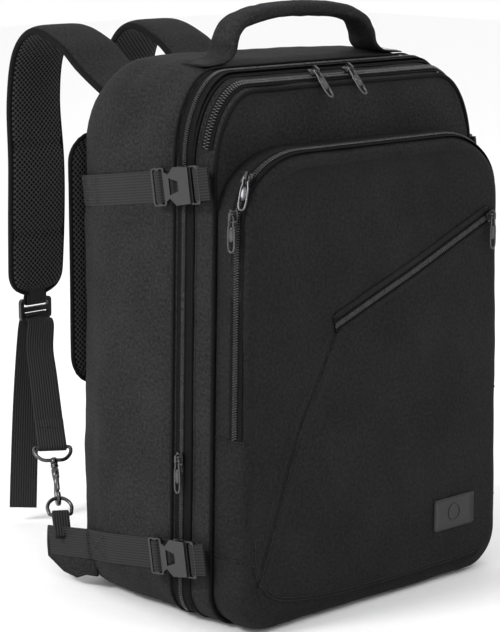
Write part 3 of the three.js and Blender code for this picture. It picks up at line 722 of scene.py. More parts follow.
def build_main_shell():
    """Main compartment: a loft through seven outlines and a back panel, with soft folds and a turned rim."""
    wall = loft(MAIN_SECTIONS, 48)
    back = panel(MAIN_SECTIONS[-1])
    made = piece("main_compartment", [wall, (back, False)], "shell_cloth", "main_body", ["main_shell"])
    depth = vertices(made)[:, 1]
    inflate(made, (depth < -0.080) | (depth > 0.0765), 1.6, 1.5)
    inner = lambda p: np.clip((p[:, 1] + 80) / 26, 0, 1) * np.clip((92 - p[:, 1]) / 20, 0.2, 1)
    folds = settings().fold_depth
    ruffle(made, folds * 1.3, 130, 5, inner)
    ruffle(made, folds * 0.55, 38, 9, inner)
    add_wall(made, 3.2)
    welt, _ = outline_path(-77.0, 1.0, 527.4, -2.2, 1.4)
    cord = swept(welt, [0, 1, 0], oval(3.4, 2.4), True)
    piece("main_welt", [cord], "binding_tape", "main_body")
    rows = [stitches(shift(welt, 4.0), np.cross([0, 1, 0], tangents(welt, True)))]
    piece("main_welt_stitching", rows, "thread", "main_body", weld=0)


def build_front_section():
    """Organiser compartment: its side band and front face, with cord piping along both of its edges."""
    wall = loft(FRONT_SECTIONS, 26)
    face = panel(FRONT_SECTIONS[-1])
    made = piece("organiser_compartment", [wall, (face, False)], "shell_cloth", "front_section",
                 ["front_shell"])
    ruffle(made, settings().fold_depth * 0.5, 60, 12, lambda p: np.clip((-96 - p[:, 1]) / 10, 0, 1))
    add_wall(made, 3.0)
    front, out = outline_path(-129.4, 0.7, 509.6, 1.4, 2.4, (50, 77))
    rear, rear_out = outline_path(-102.6, 0.9, 521.6, -0.8, 2.0)
    for name, path, width, height in (("front_piping", front, 4.2, 4.2), ("band_piping", rear, 3.2, 3.0)):
        cord = swept(path, [0, 1, 0], oval(width, height), True)
        piece(name, [cord], "binding_tape", "front_section")
    rows = [
        stitches(*above(shift(front, 4.6), out, 14)),
        stitches(*above(shift(rear, -4.0), rear_out, 14)),
    ]
    piece("band_stitching", rows, "thread", "front_section", weld=0)


# Seams and the slanting zip of the pocket's face, as x and z.
LEG_SEAM = [(-60, 281), (-82, 243), (-107, 202), (-126, 152), (-143, 104), (-155, 72), (-166, 42)]
BOOT_SEAM = [(-172, 92), (-171, 72), (-163, 50), (-146, 33), (-122, 24), (-60, 16.5), (21, 15), (107, 16),
             (146, 18)]
DIAGONAL = [(-62, 286), (-6, 306.8), (50, 327.5), (105, 349.6), (161, 372)]


def face_y(x, z):
    """Depth of the pocket's face: crowned a little towards its middle, and flat along the slanting zip."""
    across = np.clip(1 - (x / 172) ** 2, 0, 1)
    up = np.clip(1 - ((z - 226) / 218) ** 2, 0, 1)
    taut = 1 - np.exp(-((near(np.stack([x, z], -1), DIAGONAL) / 45) ** 2))
    return POCKET_Y - settings().pocket_crown * across * up * taut


def on_face(points, lift):
    """Points of the pocket's face given by x and z, lifted off it."""
    return np.stack([points[:, 0], face_y(points[:, 0], points[:, 1]) - lift, points[:, 1]], -1)


def bump(distance, at, spread):
    """A rounded ridge of height 1 at that distance from a seam."""
    return np.exp(-(((distance - at) / spread) ** 2))


def build_pocket():
    """Front pocket: lofted sides and a crowned face, pressed in along its seams, and its stitching."""
    shape = dict(columns=110, arc=16, straight=120)
    wall = np.stack([rim(panel(s, **shape)) for s in blended(POCKET_SECTIONS, 34)])
    face = panel(POCKET_SECTIONS[-1], **shape)
    flat = face.reshape(-1, 3)[:, [0, 2]]
    leg, boot, slant = near(flat, LEG_SEAM), near(flat, BOOT_SEAM), near(flat, DIAGONAL)
    press = 1.3 * bump(leg, 0, 2.2) + 1.4 * bump(boot, 0, 2.2)
    puff = 0.7 * bump(leg, 6, 4) + 0.7 * bump(boot, 6, 4)
    valley = 0.9 * bump(slant, 0, 7)
    rise = (face_y(flat[:, 0], flat[:, 1]) + press + valley - puff).reshape(face.shape[:2])
    inner = np.zeros(face.shape[:2])
    inner[1:-1, 1:-1] = 1
    face[..., 1] = np.where(inner > 0, rise, face[..., 1])
    back = panel(POCKET_SECTIONS[0], **shape)
    patches = [(wall, True), (face, False), (back, False)]
    made = piece("front_pocket", patches, "face_cloth", "front_section", ["pocket_shell"])
    soft = lambda p: np.clip((-134 - p[:, 1]) / 12, 0, 1) * np.clip(near(p[:, [0, 2]], DIAGONAL) / 24, 0.1, 1)
    ruffle(made, settings().fold_depth * 0.7, 110, 21, soft)
    ruffle(made, settings().fold_depth * 0.28, 34, 22, soft)
    rows = []
    for line, gap in ((LEG_SEAM, 3.2), (BOOT_SEAM, 3.0), (BOOT_SEAM, 6.0)):
        path = curve(np.array(line), 90)
        along = tangents(path)
        path = path + np.stack([-along[:, 1], along[:, 0]], -1) * gap
        depth = face_y(path[:, 0], path[:, 1]) - 0.95
        keep = (half_width(path[:, 1], 12) - np.abs(path[:, 0])) > 2
        run = np.stack([path[:, 0], depth, path[:, 1]], -1)[keep]
        rows.append(stitches(run, FACE_OUT))
    piece("pocket_stitching", rows, "thread", "front_section", weld=0)
    cross = []
    for height in (190.0, 76.0):
        for sign in (-1, 1):
            depth = np.linspace(-131.5, -170.0, 30)
            inset = np.interp(depth, [-173, -171, -165, -150, -130], [12, 6, 3, 1, 3])
            x = sign * (half_width(height, inset) + 0.35)
            line = np.stack([x, depth, np.full(30, height)], -1)
            cross.append(swept(line, [0, 0, 1], oval(2.6, 1.6)))
    piece("gusset_seams", cross, "face_cloth", "front_section")


def build_patch():
    """Soft moulded patch: a raised border and a plain ring, sewn round its edge."""
    centre, half_size = np.array([111.0, 70.0]), np.array([30.0, 16.5])
    corner = rounded_loop(*centre, *(2 * half_size), 2.4)
    shrink = lambda k: centre + (corner - centre) * (1 - k / half_size)
    steps = [(0, 0.2), (0, 1.5), (0.5, 2.0), (2.2, 2.0), (2.6, 1.5), (8, 1.5), (15, 1.5)]
    rings = np.stack([on_face(shrink(k), lift) for k, lift in steps])
    rings = np.concatenate([rings, np.broadcast_to(rings[-1].mean(0), rings[:1].shape)])
    angle = np.linspace(0, 2 * np.pi, 48, endpoint=False)
    circle = on_face(centre + 8.5 * np.stack([np.cos(angle), np.sin(angle)], -1), 1.6)
    raised = tube(circle, 0.7, True, 8)
    piece("patch_badge", [(rings, True), raised], "patch_rubber", "front_section", ["patch"])
    edge = on_face(shrink(1.2), 2.0)
    sewn = stitches(np.concatenate([edge, edge[:1]]), FACE_OUT, 2.6, 1.9, 0.5)
    piece("patch_stitching", [sewn], "thread", "front_section", weld=0)


def rounded_loop(x, z, width, height, radius, arc=6, straight=16):
    """Corner-rounded rectangle as a closed loop of points."""
    w, h = width / 2 - radius, height / 2 - radius
    turn = np.linspace(0, np.pi / 2, arc + 1)
    parts = []
    for k, (u, v) in enumerate([(1, 1), (-1, 1), (-1, -1), (1, -1)]):
        a = turn + k * np.pi / 2
        parts.append(np.stack([x + u * w + radius * np.cos(a), z + v * h + radius * np.sin(a)], -1))
    loop = np.concatenate(parts)
    closed = np.concatenate([loop, loop[:1]])
    run = lengths(closed)
    at = np.linspace(0, run[-1], 4 * (arc + straight), endpoint=False)
    return sampled(at, run, closed)


# ---- zips -------------------------------------------------------------------------------------------


def zip_line(name, path, out, lean, body_front, body_rear, node, pitch, tooth, tape=10.0):
    """A closed zip: a tape each side of the path and a column of teeth on each, leaning with the cloth."""
    lean = np.radians(np.broadcast_to(lean, (len(path),)))[:, None]
    depth = np.array([0.0, 1.0, 0.0])
    tilted = out * np.cos(lean) - depth * np.sin(lean)
    side = depth * np.cos(lean) + out * np.sin(lean)
    base = path - tilted * 1.5
    for column, body, end in ((-1, body_rear, "rear"), (1, body_front, "front")):
        line = base - side * column * (tape / 2 + 0.2)
        piece(f"{name}_tape_{end}", [swept(line, side, oval(tape, 0.7, 12, 0.5))], "binding_tape", body)
        teeth = zip_teeth(path - tilted * 0.5, tilted, pitch, tooth, column)
        stands_for = [node] if end == "front" else []
        piece(f"{name}_teeth_{end}", [teeth], "coil_plastic", body, stands_for, weld=0)


def build_zips():
    """Main, organiser and pocket zips round their outlines, and the slanting zip on the pocket's face."""
    path, out = outline_path(ZIP_Y, 2.6, 525, 0, 0.2, count=1500)
    path, out = above(path, out, 9)
    zip_line("main_zip", path, out, 0.0, "front_section", "main_body", "main_zip_coil", 2.1, (2.8, 1.25, 2.5))
    path, out = outline_path(ORGANISER_ZIP_Y, 1.8, 516.2, -0.8, 0.8, count=1500)
    path, out = above(path, out, 459)
    lean = 3 + 21 * np.clip(out[:, 2], 0, 1)
    zip_line("organiser_zip", path, out, lean, "front_section", "front_section", "top_zip_coil", 3.0,
             (3.9, 1.7, 3.2), 6.5)
    path, out = outline_path(POCKET_ZIP_Y, 1.9, 455.0, 2.2, 3, POCKET_CORNER, count=1500)
    path, out = above(path, out, 191)
    zip_line("pocket_zip", path, out, 9.0, "front_section", "front_section", "pocket_zip_coil", 2.4,
             (3.0, 1.4, 2.5), 7.5)
    build_diagonal_zip()


def build_diagonal_zip():
    """Slanting pocket zip between two lips of cloth that stand a little over it."""
    flat = curve(np.array(DIAGONAL, float), 260)
    along = tangents(flat)
    across = np.stack([-along[:, 1], along[:, 0]], -1)
    out = np.broadcast_to(np.array(FACE_OUT, float), (len(flat), 3))
    side = np.stack([across[:, 0], np.zeros(len(flat)), across[:, 1]], -1)
    tape = [swept(on_face(flat, 0.1), side, oval(15, 0.9, 12, 0.5))]
    piece("slant_zip_tape", tape, "binding_tape", "front_section")
    teeth = [zip_teeth(on_face(flat, 1.2), out, 2.3, (2.9, 1.55, 2.0), c) for c in (-1, 1)]
    piece("slant_zip_teeth", teeth, "coil_plastic", "front_section", ["diagonal_zip_coil"], weld=0)
    share = np.clip(from_ends(len(flat)) / 0.03, 0.25, 1)
    profile = profile_between(oval(6.2, 2.6, 16, 0.8), share, share)
    lips = [swept(on_face(flat + across * sign * 8.4, 0.4), side, profile) for sign in (-1, 1)]
    piece("slant_zip_lips", lips, "face_cloth", "front_section")
    rows = [stitches(on_face(flat + across * sign * 9.8, 1.3), FACE_OUT) for sign in (-1, 1)]
    piece("slant_zip_stitching", rows, "thread", "front_section", weld=0)


SLIDERS = ["main_zip", "top_left", "top_right", "pocket_lower", "pocket_upper", "diagonal"]
# Half of a pull's frame, as x across it and y up it from its pivot.
PULL_FRAME = [(0, 0), (2.0, -0.2), (2.5, -1.6), (2.5, -7.5), (3.4, -13), (3.5, -20), (3.4, -27.5),
              (2.4, -31.6), (0, -33)]
# Its plate: share of the half size against height, from one face over the edge to the other.
PLATE_DOME = [(0, 1.0), (0.5, 0.95), (0.8, 0.78), (0.97, 0.5), (0.97, -0.5), (0.8, -0.78), (0.5, -0.95),
              (0, -1.0)]
PLATE_Y = -16.8


def build_pull(swing):
    """Cast pull: a closed frame round its slot and finger hole, and a domed oval plate with a raised ring."""
    node = swing["name"].replace("_swing", "").replace("main_pull", "main_zip_pull")
    pivot, across = np.array(swing["pos_m"]) * 1000, unit(np.array(swing["axis"], float))
    hang = vertices(frame["nodes"][node]).mean(0) * 1000 - pivot
    rise = -unit(hang - hang @ across * across)
    axes = np.stack([across, rise, np.cross(across, rise)])
    lay = lambda points: pivot + np.asarray(points, float) @ axes
    half = [(x, y, 0) for x, y in PULL_FRAME]
    path = lay(curve(half + [(-x, y, z) for x, y, z in half[-2:0:-1]], 110, True))
    cast = [swept(path, axes[2], oval(1.6, 1.9, 12, 0.8), True)]
    angle = np.linspace(0, 2 * np.pi, 36, endpoint=False)
    share, lift = np.array(PLATE_DOME).T
    plate = np.stack([share[:, None] * 3.3 * np.cos(angle), PLATE_Y + share[:, None] * 7.2 * np.sin(angle),
                      np.repeat(lift[:, None], len(angle), 1)], -1)
    cast.append((lay(plate.reshape(-1, 3)).reshape(plate.shape), True))
    for side in (-1, 1):
        lift = np.full(len(angle), 0.85 * side)
        ring = np.stack([2.3 * np.cos(angle), PLATE_Y + 5.4 * np.sin(angle), lift], -1)
        cast.append(tube(lay(ring), 0.38, True, 8))
    piece(node + "_cast", cast, "gunmetal", frame["nodes"][node]["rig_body"], [node])


def build_sliders():
    """Cast sliders with rounded edges, each with its pull."""
    for name in SLIDERS:
        refined(name + "_slider", "gunmetal", 0.4)
    for joint in frame["record"]["behaviour"]["joints"]:
        if joint["name"].endswith("pull_swing"):
            build_pull(joint)


# ---- side straps and buckles ------------------------------------------------------------------------

STRAP_SLOPE = math.radians(8)
STRAPS = {"upper": (182.5, 423.0, 155.0), "lower": (189.5, 66.0, 142.0)}  # x, z, length behind the buckle
BUCKLE_MOUTH = -86.0
TAB_RUN = 58  # how much further the lower strap runs, over the corner tab
TAB_LIE = 186.2
# Webbing through the buckle and round the front bar, as distances along and out.
BUCKLE_LOOP = [(31, 2.7), (27.5, 3.4), (23.7, 6.0), (21.8, 8.4), (19, 8.9), (16.2, 8.4), (14.3, 6.0),
               (11.5, 3.4), (9.2, 2.7)]
FRONT_FOLD = [(-46, 0.8), (-41, 2.0), (-35.5, 2.9), (-31.4, 4.0), (-30.6, 5.6), (-31.8, 7.2),
              (-35.5, 7.2), (-40, 4.9), (-46, 2.2)]


def strap_frame(level):
    """Origin of a left compression strap, and its directions back along it, up across it and out."""
    x, z, _ = STRAPS[level]
    along = np.array([0.0, math.cos(STRAP_SLOPE), -math.sin(STRAP_SLOPE)])
    out = np.array([-1.0, 0.0, -0.02])
    out = unit(out - out @ along * along)
    return np.array([-x, BUCKLE_MOUTH, z]), along, np.cross(out, along), out


def shell_side(points):
    """How far out the main compartment stands at each point: its widest vertex under the strap there."""
    shell = vertices(bpy.data.objects["main_compartment"]) * 1000
    shell = shell[np.abs(shell[:, 0]) > 120]
    apart = np.abs(points[:, None, 1:] - shell[None, :, 1:]) / [4.5, 17.5]
    widest = np.where(apart.max(-1) < 1, np.abs(shell[:, 0]), 0).max(1)
    return np.convolve(np.pad(widest, 3, "edge"), np.full(7, 1 / 7), "valid")


def crossed_box(end, length, half):
    """Lines of a sewn box with a cross in it, as pairs of (along, across) corners."""
    corners = [(end, -half), (end, half), (end - length, half), (end - length, -half), (end, -half)]
    return [*zip(corners[:-1], corners[1:]), (corners[0], corners[2]), (corners[1], corners[3])]


def build_side_straps():
    """Compression straps: a long webbing that follows the side, a loop in the buckle and a sewn front end."""
    for level, (_, _, back_end) in STRAPS.items():
        origin, along, up, out = strap_frame(level)
        tab = TAB_RUN if level == "lower" else 0
        run = np.linspace(-37.5, back_end + tab, 130)
        line = origin + run[:, None] * along + out * 0.3
        lie = shell_side(line) + 0.7
        if tab:
            lie = np.maximum(lie, TAB_LIE * np.clip((line[:, 1] - 20) / 30, 0, 1))
        free = np.clip((line[:, 1] + 66) / 46, 0, 1)
        free = free**2 * (3 - 2 * free)
        line[:, 0] = line[:, 0] * (1 - free) - lie * free
        flat = swept(line, up, strip(WEBBING, 1.5))
        both(f"side_strap_{level}_left", [flat], "webbing", "main_body", [f"strap_rear_{level}_left"])
        for name, route, count, body, replaces in (
            ("buckle_loop", BUCKLE_LOOP, 44, f"male_{level}_left", []),
            ("front_strap", FRONT_FOLD, 60, "front_section", [f"strap_front_{level}_left"]),
        ):
            bend = curve(route, count)
            path = origin + bend[:, :1] * along + bend[:, 1:] * out
            band = swept(path, up, strip(WEBBING - 0.6, 1.3) - [0, 0.65])
            both(f"{name}_{level}_left", [band], "webbing", body, replaces)
        rows = []
        for start, stop in crossed_box(back_end - 5, 30, 11.5):
            spots = np.linspace(start, stop, 20)
            on = sampled(spots[:, 0], run, line)
            rows.append(stitches(on + spots[:, 1:] * up + out * 1.62, out, 3.0, 2.3, 0.6))
        both(f"strap_stitching_{level}_left", rows, "thread", "main_body", weld=0)


def build_buckles():
    """Side-release buckles and the ladder locks, with moulded edges."""
    for level in STRAPS:
        for side in ("left", "right"):
            refined(f"buckle_female_{level}_{side}", "buckle_plastic", 0.55)
            refined(f"buckle_male_{level}_{side}", "buckle_plastic", 0.5)
    for side in ("left", "right"):
        refined(f"ladder_lock_{side}", "buckle_plastic", 0.7)


# ---- handle and padding -----------------------------------------------------------------------------


def build_handle():
    """Top handle: a padded roll that rises from two sewn feet, flat and wide at its ends."""
    points = [(-133, 530.2), (-120, 531.0), (-106, 533.6), (-96.5, 541), (-93, 553), (-82, 566.5),
              (-62, 573.5), (-32, 577.5), (0, 578.5)]
    points = points + [(-x, z) for x, z in points[-2::-1]]
    count = 150
    line = curve(points, count)
    path = np.stack([line[:, 0], np.full(count, HANDLE_Y), line[:, 1]], -1)
    share = from_ends(count)
    thick = np.interp(share, [0, 0.08, 0.17, 0.3, 0.5], [2.2, 4.0, 11.5, 14.5, 15.0])
    wide = np.interp(share, [0, 0.1, 0.2, 0.5], [40, 38, 33, 34])
    roll = swept(path, [0, 1, 0], profile_between(oval(1, 1, 40, 0.72), wide, thick))
    made = piece("carry_handle", [roll], "shell_cloth", "main_body", ["top_handle"])
    mask = lambda p: np.clip((p[:, 2] - 536) / 12, 0, 1)
    ruffle(made, 0.55, 26, 31, mask)
    ruffle(made, 0.3, 11, 32, mask)
    rows = []
    for sign in (-1, 1):
        for across in (-15.5, 15.5):
            x = np.linspace(131, 104, 20) * sign
            z = np.interp(np.abs(x), [104, 106, 120, 131], [536.2, 535.5, 533.2, 531.6])
            rows.append(stitches(np.stack([x, np.full(20, HANDLE_Y + across), z], -1), [0, 0, 1]))
    piece("handle_stitching", rows, "thread", "main_body", weld=0)


def pad_line(count):
    """Middle line of the left shoulder pad."""
    line = curve(PAD_ROUTE, count)
    return np.stack([np.full(count, -PAD_X), line[:, 0], line[:, 1]], -1)


def face_with_mesh(made):
    """Gives the inner half of a shoulder pad, found by its cloth coordinates, the air mesh."""
    made.data.materials.append(material("air_mesh"))
    uv = np.zeros(len(made.data.loops) * 2, np.float32)
    made.data.uv_layers[0].data.foreach_get("uv", uv)
    starts = np.zeros(len(made.data.polygons), np.int32)
    made.data.polygons.foreach_get("loop_start", starts)
    over = uv.reshape(-1, 2)[:, 1]
    inner = over[starts] > over.max() * 0.5
    made.data.polygons.foreach_set("material_index", inner.astype(np.int32))


def build_shoulder_pads():
    """Shoulder pads: padding along its route, air mesh inside, cloth outside, pinched where it is sewn."""
    count = 170
    path = pad_line(count)
    run = lengths(path)
    total = run[-1]
    sewn_at = [total * 0.66, total * 0.86]
    pinch = sum(bump(run, s, 5.0) for s in sewn_at)
    round_end = np.clip(1 - np.clip((run - total + 27) / 27, 0, 1) ** 2.6, 0.02, 1) ** 0.4
    narrow = (1 + 0.05 * np.cos((run / total - 0.8) * 9.0)) * np.maximum(round_end, 0.34)
    ends = np.clip(np.minimum(run, total - run) / 9, 0.3, 1)
    profile = profile_between(oval(PAD_WIDTH, PAD_THICKNESS, 44, 0.55), narrow, ends * (1 - 0.42 * pinch))
    padding = [swept(path, [1, 0, 0], profile)]
    for side, patches in (("left", padding), ("right", mirrored(padding))):
        made = piece(f"shoulder_strap_{side}", patches, "shell_cloth", "main_body", [f"shoulder_pad_{side}"])
        face_with_mesh(made)
        points = vertices(made) * 1000
        row = np.argmin(((points[:, None, 1:] - path[None, :, 1:]) ** 2).sum(-1), 1)
        edge = np.abs(np.abs(points[:, 0]) - PAD_X) > PAD_WIDTH / 2 - 3
        held = edge | (pinch[row] > 0.55) | (row < 4) | (row > count - 5)
        inflate(made, held, 2.6)
    binding, rows = [], []
    for sign in (-1, 1):
        edge = path + np.stack([sign * 33.2 * narrow, np.zeros(count), np.zeros(count)], -1)
        binding.append(swept(edge, [1, 0, 0], oval(5.2, 7.4, 14, 0.8)))
    out = np.cross([1.0, 0.0, 0.0], tangents(path))
    for s in sewn_at:
        k = int(np.argmin(np.abs(run - s)))
        across = np.linspace(-24, 24, 30)[:, None] * [1.0, 0, 0]
        rows.append(stitches(path[k] + across + out[k] * 4.4, out[k]))
    both("shoulder_binding_left", binding, "binding_tape", "main_body")
    bar = LOCK + [0, 0, 6.6]
    bend = [bar + [0, 3.3 * math.sin(a), -1.5 * math.cos(a)] for a in np.linspace(-1.4, 1.4, 5)]
    hang = curve([bar + [0, -3.4, 44], bar + [0, -3.4, 20], bar + [0, -3.4, 6], *bend, bar + [0, 3.4, 6],
                  bar + [0, 0.6, 17], bar + [0, -1.4, 44]], 80)
    both("lock_loop_left", [swept(hang, [1, 0, 0], oval(26, 1.5, 20, 0.35))], "webbing", "main_body")
    both("shoulder_stitching_left", rows, "thread", "main_body", weld=0)


def crowded(count, power):
    """Steps from -1 to 1 that crowd towards both ends."""
    t = np.linspace(-1, 1, count)
    return np.sign(t) * (1 - (1 - np.abs(t)) ** power)


def cushion(name, x, z, width, height, replaces, seams, thick=15.0):
    """A sewn pad on the back panel: a quarter round at its edge, pressed in along its seams."""
    rows, columns, radius = 90, 64, 28.0
    v = crowded(rows, 1.25) * height / 2
    corner = np.clip(np.abs(v) - height / 2 + radius, 0, radius)
    edge = width / 2 - radius + np.sqrt(np.clip(radius**2 - corner**2, 0, None))
    u = crowded(columns, 1.2)[None] * edge[:, None]
    v = np.broadcast_to(v[:, None], u.shape)
    q = np.stack([np.abs(u) - width / 2 + radius, np.abs(v) - height / 2 + radius], -1)
    away = radius - np.linalg.norm(np.maximum(q, 0), axis=-1) - np.minimum(q.max(-1), 0)
    border = np.zeros(u.shape, bool)
    border[[0, -1]] = True
    border[:, [0, -1]] = True
    away = np.where(border, 0.0, np.clip(away, 0, None))
    rise = thick * np.sqrt(np.clip(1 - (1 - np.clip(away / 17, 0, 1)) ** 2, 0, 1))
    flat = np.stack([x + u, z + v], -1).reshape(-1, 2)
    sewn = np.minimum.reduce([near(flat, line) for line in seams]).reshape(u.shape)
    rise = rise * (1 - 0.5 * bump(sewn, 0, 3.2))
    base = BACK_Y + 0.4
    grid = lambda lift: np.stack([x + u, base + lift, z + v], -1)
    made = piece(name, [(grid(rise), False), (grid(0 * rise), False)], "air_mesh", "main_body", replaces)
    points = vertices(made) * 1000
    held = (points[:, 1] < base + 3.0) | (near(points[:, [0, 2]], seams[0]) < 2.5)
    inflate(made, held, 1.6, 3.0)
    loop = rounded_loop(x, z, width - 1, height - 1, radius)
    path = np.stack([loop[:, 0], np.full(len(loop), base + 1.6), loop[:, 1]], -1)
    piece(name + "_binding", [swept(path, [0, 1, 0], oval(4.0, 4.6), True)], "binding_tape", "main_body")


def build_back_pads():
    """Two tall pads and one across the waist, on the back panel."""
    for sign, side in ((-1, "left"), (1, "right")):
        seams = [[(sign * 95 - 70, z), (sign * 95 + 70, z)] for z in (270, 330, 390)]
        cushion(f"spine_pad_{side}", sign * 95, 330, 164, 252, [f"back_pad_{side}"], seams)
    cushion("waist_pad", 0, 122, 302, 132, ["lumbar_pad"], [[(-50, 70), (-50, 175)], [(50, 70), (50, 175)]])


# ---- shoulder webbing and its hooks -----------------------------------------------------------------

# The left ladder lock, the corner ring and the hook between them, whose own z runs up the webbing.
LOCK = np.array([-PAD_X, 285.0, 240.0])
RING = np.array([-174.0, 110.0, 70.0])
CHAIN_DOWN = unit(RING - LOCK)
EYE_AT = np.linalg.norm(RING - LOCK) - 77
HOOK_Z = -CHAIN_DOWN
WIDTHWAYS = np.array([0.86, -0.5, 0.0])
HOOK_X = unit(WIDTHWAYS - WIDTHWAYS @ HOOK_Z * HOOK_Z)
HOOK_Y = np.cross(HOOK_Z, HOOK_X)
HOOK_AXES = np.stack([HOOK_X, HOOK_Y, HOOK_Z])
EYE = LOCK + CHAIN_DOWN * EYE_AT
STEM_TOP = -21.8


def build_shoulder_webbing():
    """Leg from the hook's eye up to the ladder lock and the free tail below it, each end folded and sewn."""
    chain = lambda d: LOCK + CHAIN_DOWN * d
    slot = LOCK + [0, 0, -5]
    turn = np.linspace(np.pi, 0, 7)[1:-1]
    bend = [EYE + HOOK_Y * 2.9 * math.cos(a) - HOOK_Z * 2.9 * math.sin(a) for a in turn]
    fold = [EYE + HOOK_Z * 36 - HOOK_Y * 1.2, EYE + HOOK_Z * 20 - HOOK_Y * 1.3,
            EYE + HOOK_Z * 6 - HOOK_Y * 2.4, *bend, EYE + HOOK_Z * 6 + HOOK_Y * 2.0, EYE + HOOK_Z * 20 + HOOK_Y * 0.9]
    leg = [chain(0.5 * EYE_AT), chain(0.3 * EYE_AT), chain(24) + [3, -3, 1], slot + [0, -5, -4],
           slot + [0, -3.4, -0.4], slot + [0, 3.4, -0.4], slot + [0, 5.6, -5]]
    tail = [[-PAD_X - 3, 292, 216], [-PAD_X - 8, 293, 150], [-PAD_X - 13, 292, 80], [-PAD_X - 18, 290, 16]]
    points = np.array([*fold, *leg, *tail], float)
    flat = np.array([[1.0, t, 0.0] for t in (-0.45, -0.3, -0.1, 0, 0, 0, 0, -0.1, -0.3, -0.55, -0.75)])
    sides = np.concatenate([np.repeat(HOOK_X[None], len(fold), 0), unit(flat)])
    line = curve(np.concatenate([points, sides * 0.5], 1), 260)
    made = swept(line[:, :3], line[:, 3:], oval(WEBBING - 1, 1.5, 20, 0.35))
    both("shoulder_webbing_left", [made], "webbing", "main_body", ["strap_webbing_left"])
    hem = line[-22:, :3]
    side = line[-22:, 3:]
    out = np.cross(unit(side), tangents(hem))
    hemmed = swept(hem + out * 1.4, side, oval(WEBBING - 1, 1.4, 20, 0.35))
    both("tail_hem_left", [hemmed], "webbing", "main_body")
    across = np.linspace(-13, 13, 24)[:, None]
    end_row = stitches(hem[2] + across * unit(side[2]) + out[2] * 2.2, out[2])
    fold_row = stitches(EYE + HOOK_Z * 25 + across * HOOK_X - HOOK_Y * 2.2, -HOOK_Y)
    both("webbing_stitching_left", [end_row, fold_row], "thread", "main_body", weld=0)


def hooked(points, origin=EYE):
    """Points in the hook's own directions, placed on the bag."""
    return origin + np.asarray(points, float) @ HOOK_AXES


def turned(points):
    """The hook's own shape turned a quarter about its swivel."""
    p = np.asarray(points, float)
    return np.stack([-p[:, 1], p[:, 0], p[:, 2]], -1)


def lathe(profile, count=28):
    """A turned solid: radius against height, closed at both ends."""
    angle = np.linspace(0, 2 * np.pi, count, endpoint=False)
    r, z = np.asarray(profile, float).T
    height = np.repeat(z[:, None], count, 1)
    return np.stack([r[:, None] * np.cos(angle), r[:, None] * np.sin(angle), height], -1)


def build_hooks():
    """Swivel hooks: wire eye with its boss, turned stem and bowl, sprung gate, and the corner tab's D ring."""
    eye = curve([(-17.5, 0, 0), (-6, 0, 0), (6, 0, 0), (17.5, 0, 0), (19, 0, -5), (16.5, 0, -11),
                 (10.5, 0, -16), (0, 0, -16.5), (-10.5, 0, -16), (-16.5, 0, -11), (-19, 0, -5)], 90, True)
    wire = tube(hooked(eye), 1.95, True, 16)
    boss = lathe([(0, -14.4), (2.6, -14.6), (3.8, -15.4), (4.1, -18), (3.8, -20.6), (2.8, -21.5), (0, -21.6)])
    boss = hooked(boss.reshape(-1, 3)).reshape(boss.shape)
    both("swivel_eye_left", [wire, (boss, True)], "gunmetal", "main_body", ["hook_eye_left"])
    top = STEM_TOP
    stem = lathe([(0, top), (3.0, top - 0.2), (4.0, top - 1), (4.1, top - 3), (3.1, top - 4), (3.1, top - 6),
                  (4.0, top - 7), (3.9, top - 13), (3.1, top - 20), (0, top - 20.4)])
    stem = hooked(turned(stem.reshape(-1, 3))).reshape(stem.shape)
    bowl = curve([(0, 0, top - 16), (2.2, 0, top - 24), (6.8, 0, top - 30), (8.6, 0, top - 38),
                  (6.4, 0, top - 45), (0.5, 0, top - 48.5), (-5.4, 0, top - 45.5), (-7.2, 0, top - 40.5)], 60)
    radius = np.interp(np.linspace(0, 1, 60), [0, 0.4, 0.75, 1], [2.7, 2.8, 2.5, 1.7])
    profile = oval(2, 2, 16)[None] * radius[:, None, None]
    both("hook_body_left", [(stem, True), swept(hooked(turned(bowl)), HOOK_X, profile)], "gunmetal",
         "hook_left", ["snap_hook_left"])
    gate = curve([(-5.4, 0, top - 17), (-8.4, 0, top - 24), (-8.6, 0, top - 31), (-7.6, 0, top - 37.3)], 30)
    knob = lathe([(0, -2.4), (1.4, -2.0), (2.3, -1), (2.6, 0), (2.3, 1), (1.4, 2.0), (0, 2.4)], 16)
    knob = hooked(turned(knob.reshape(-1, 3) + [-8.8, 0, top - 22])).reshape(knob.shape)
    lever = swept(hooked(turned(gate)), HOOK_X, oval(3.1, 2.7, 14))
    both("hook_gate_left", [lever, (knob, True)], "gunmetal", "trigger_left", ["hook_trigger_left"])
    angle = np.radians(np.linspace(-20, 200, 9))
    bow = np.stack([12.5 * np.cos(angle), 0 * angle, 12.5 * np.sin(angle)], -1)
    ring = hooked(curve([(-10, 0, -8), (0, 0, -8), (10, 0, -8), *bow], 80, True), RING)
    both("corner_ring_left", [tube(ring, 1.9, True, 16)], "gunmetal", "ring_left", ["anchor_ring_left"])


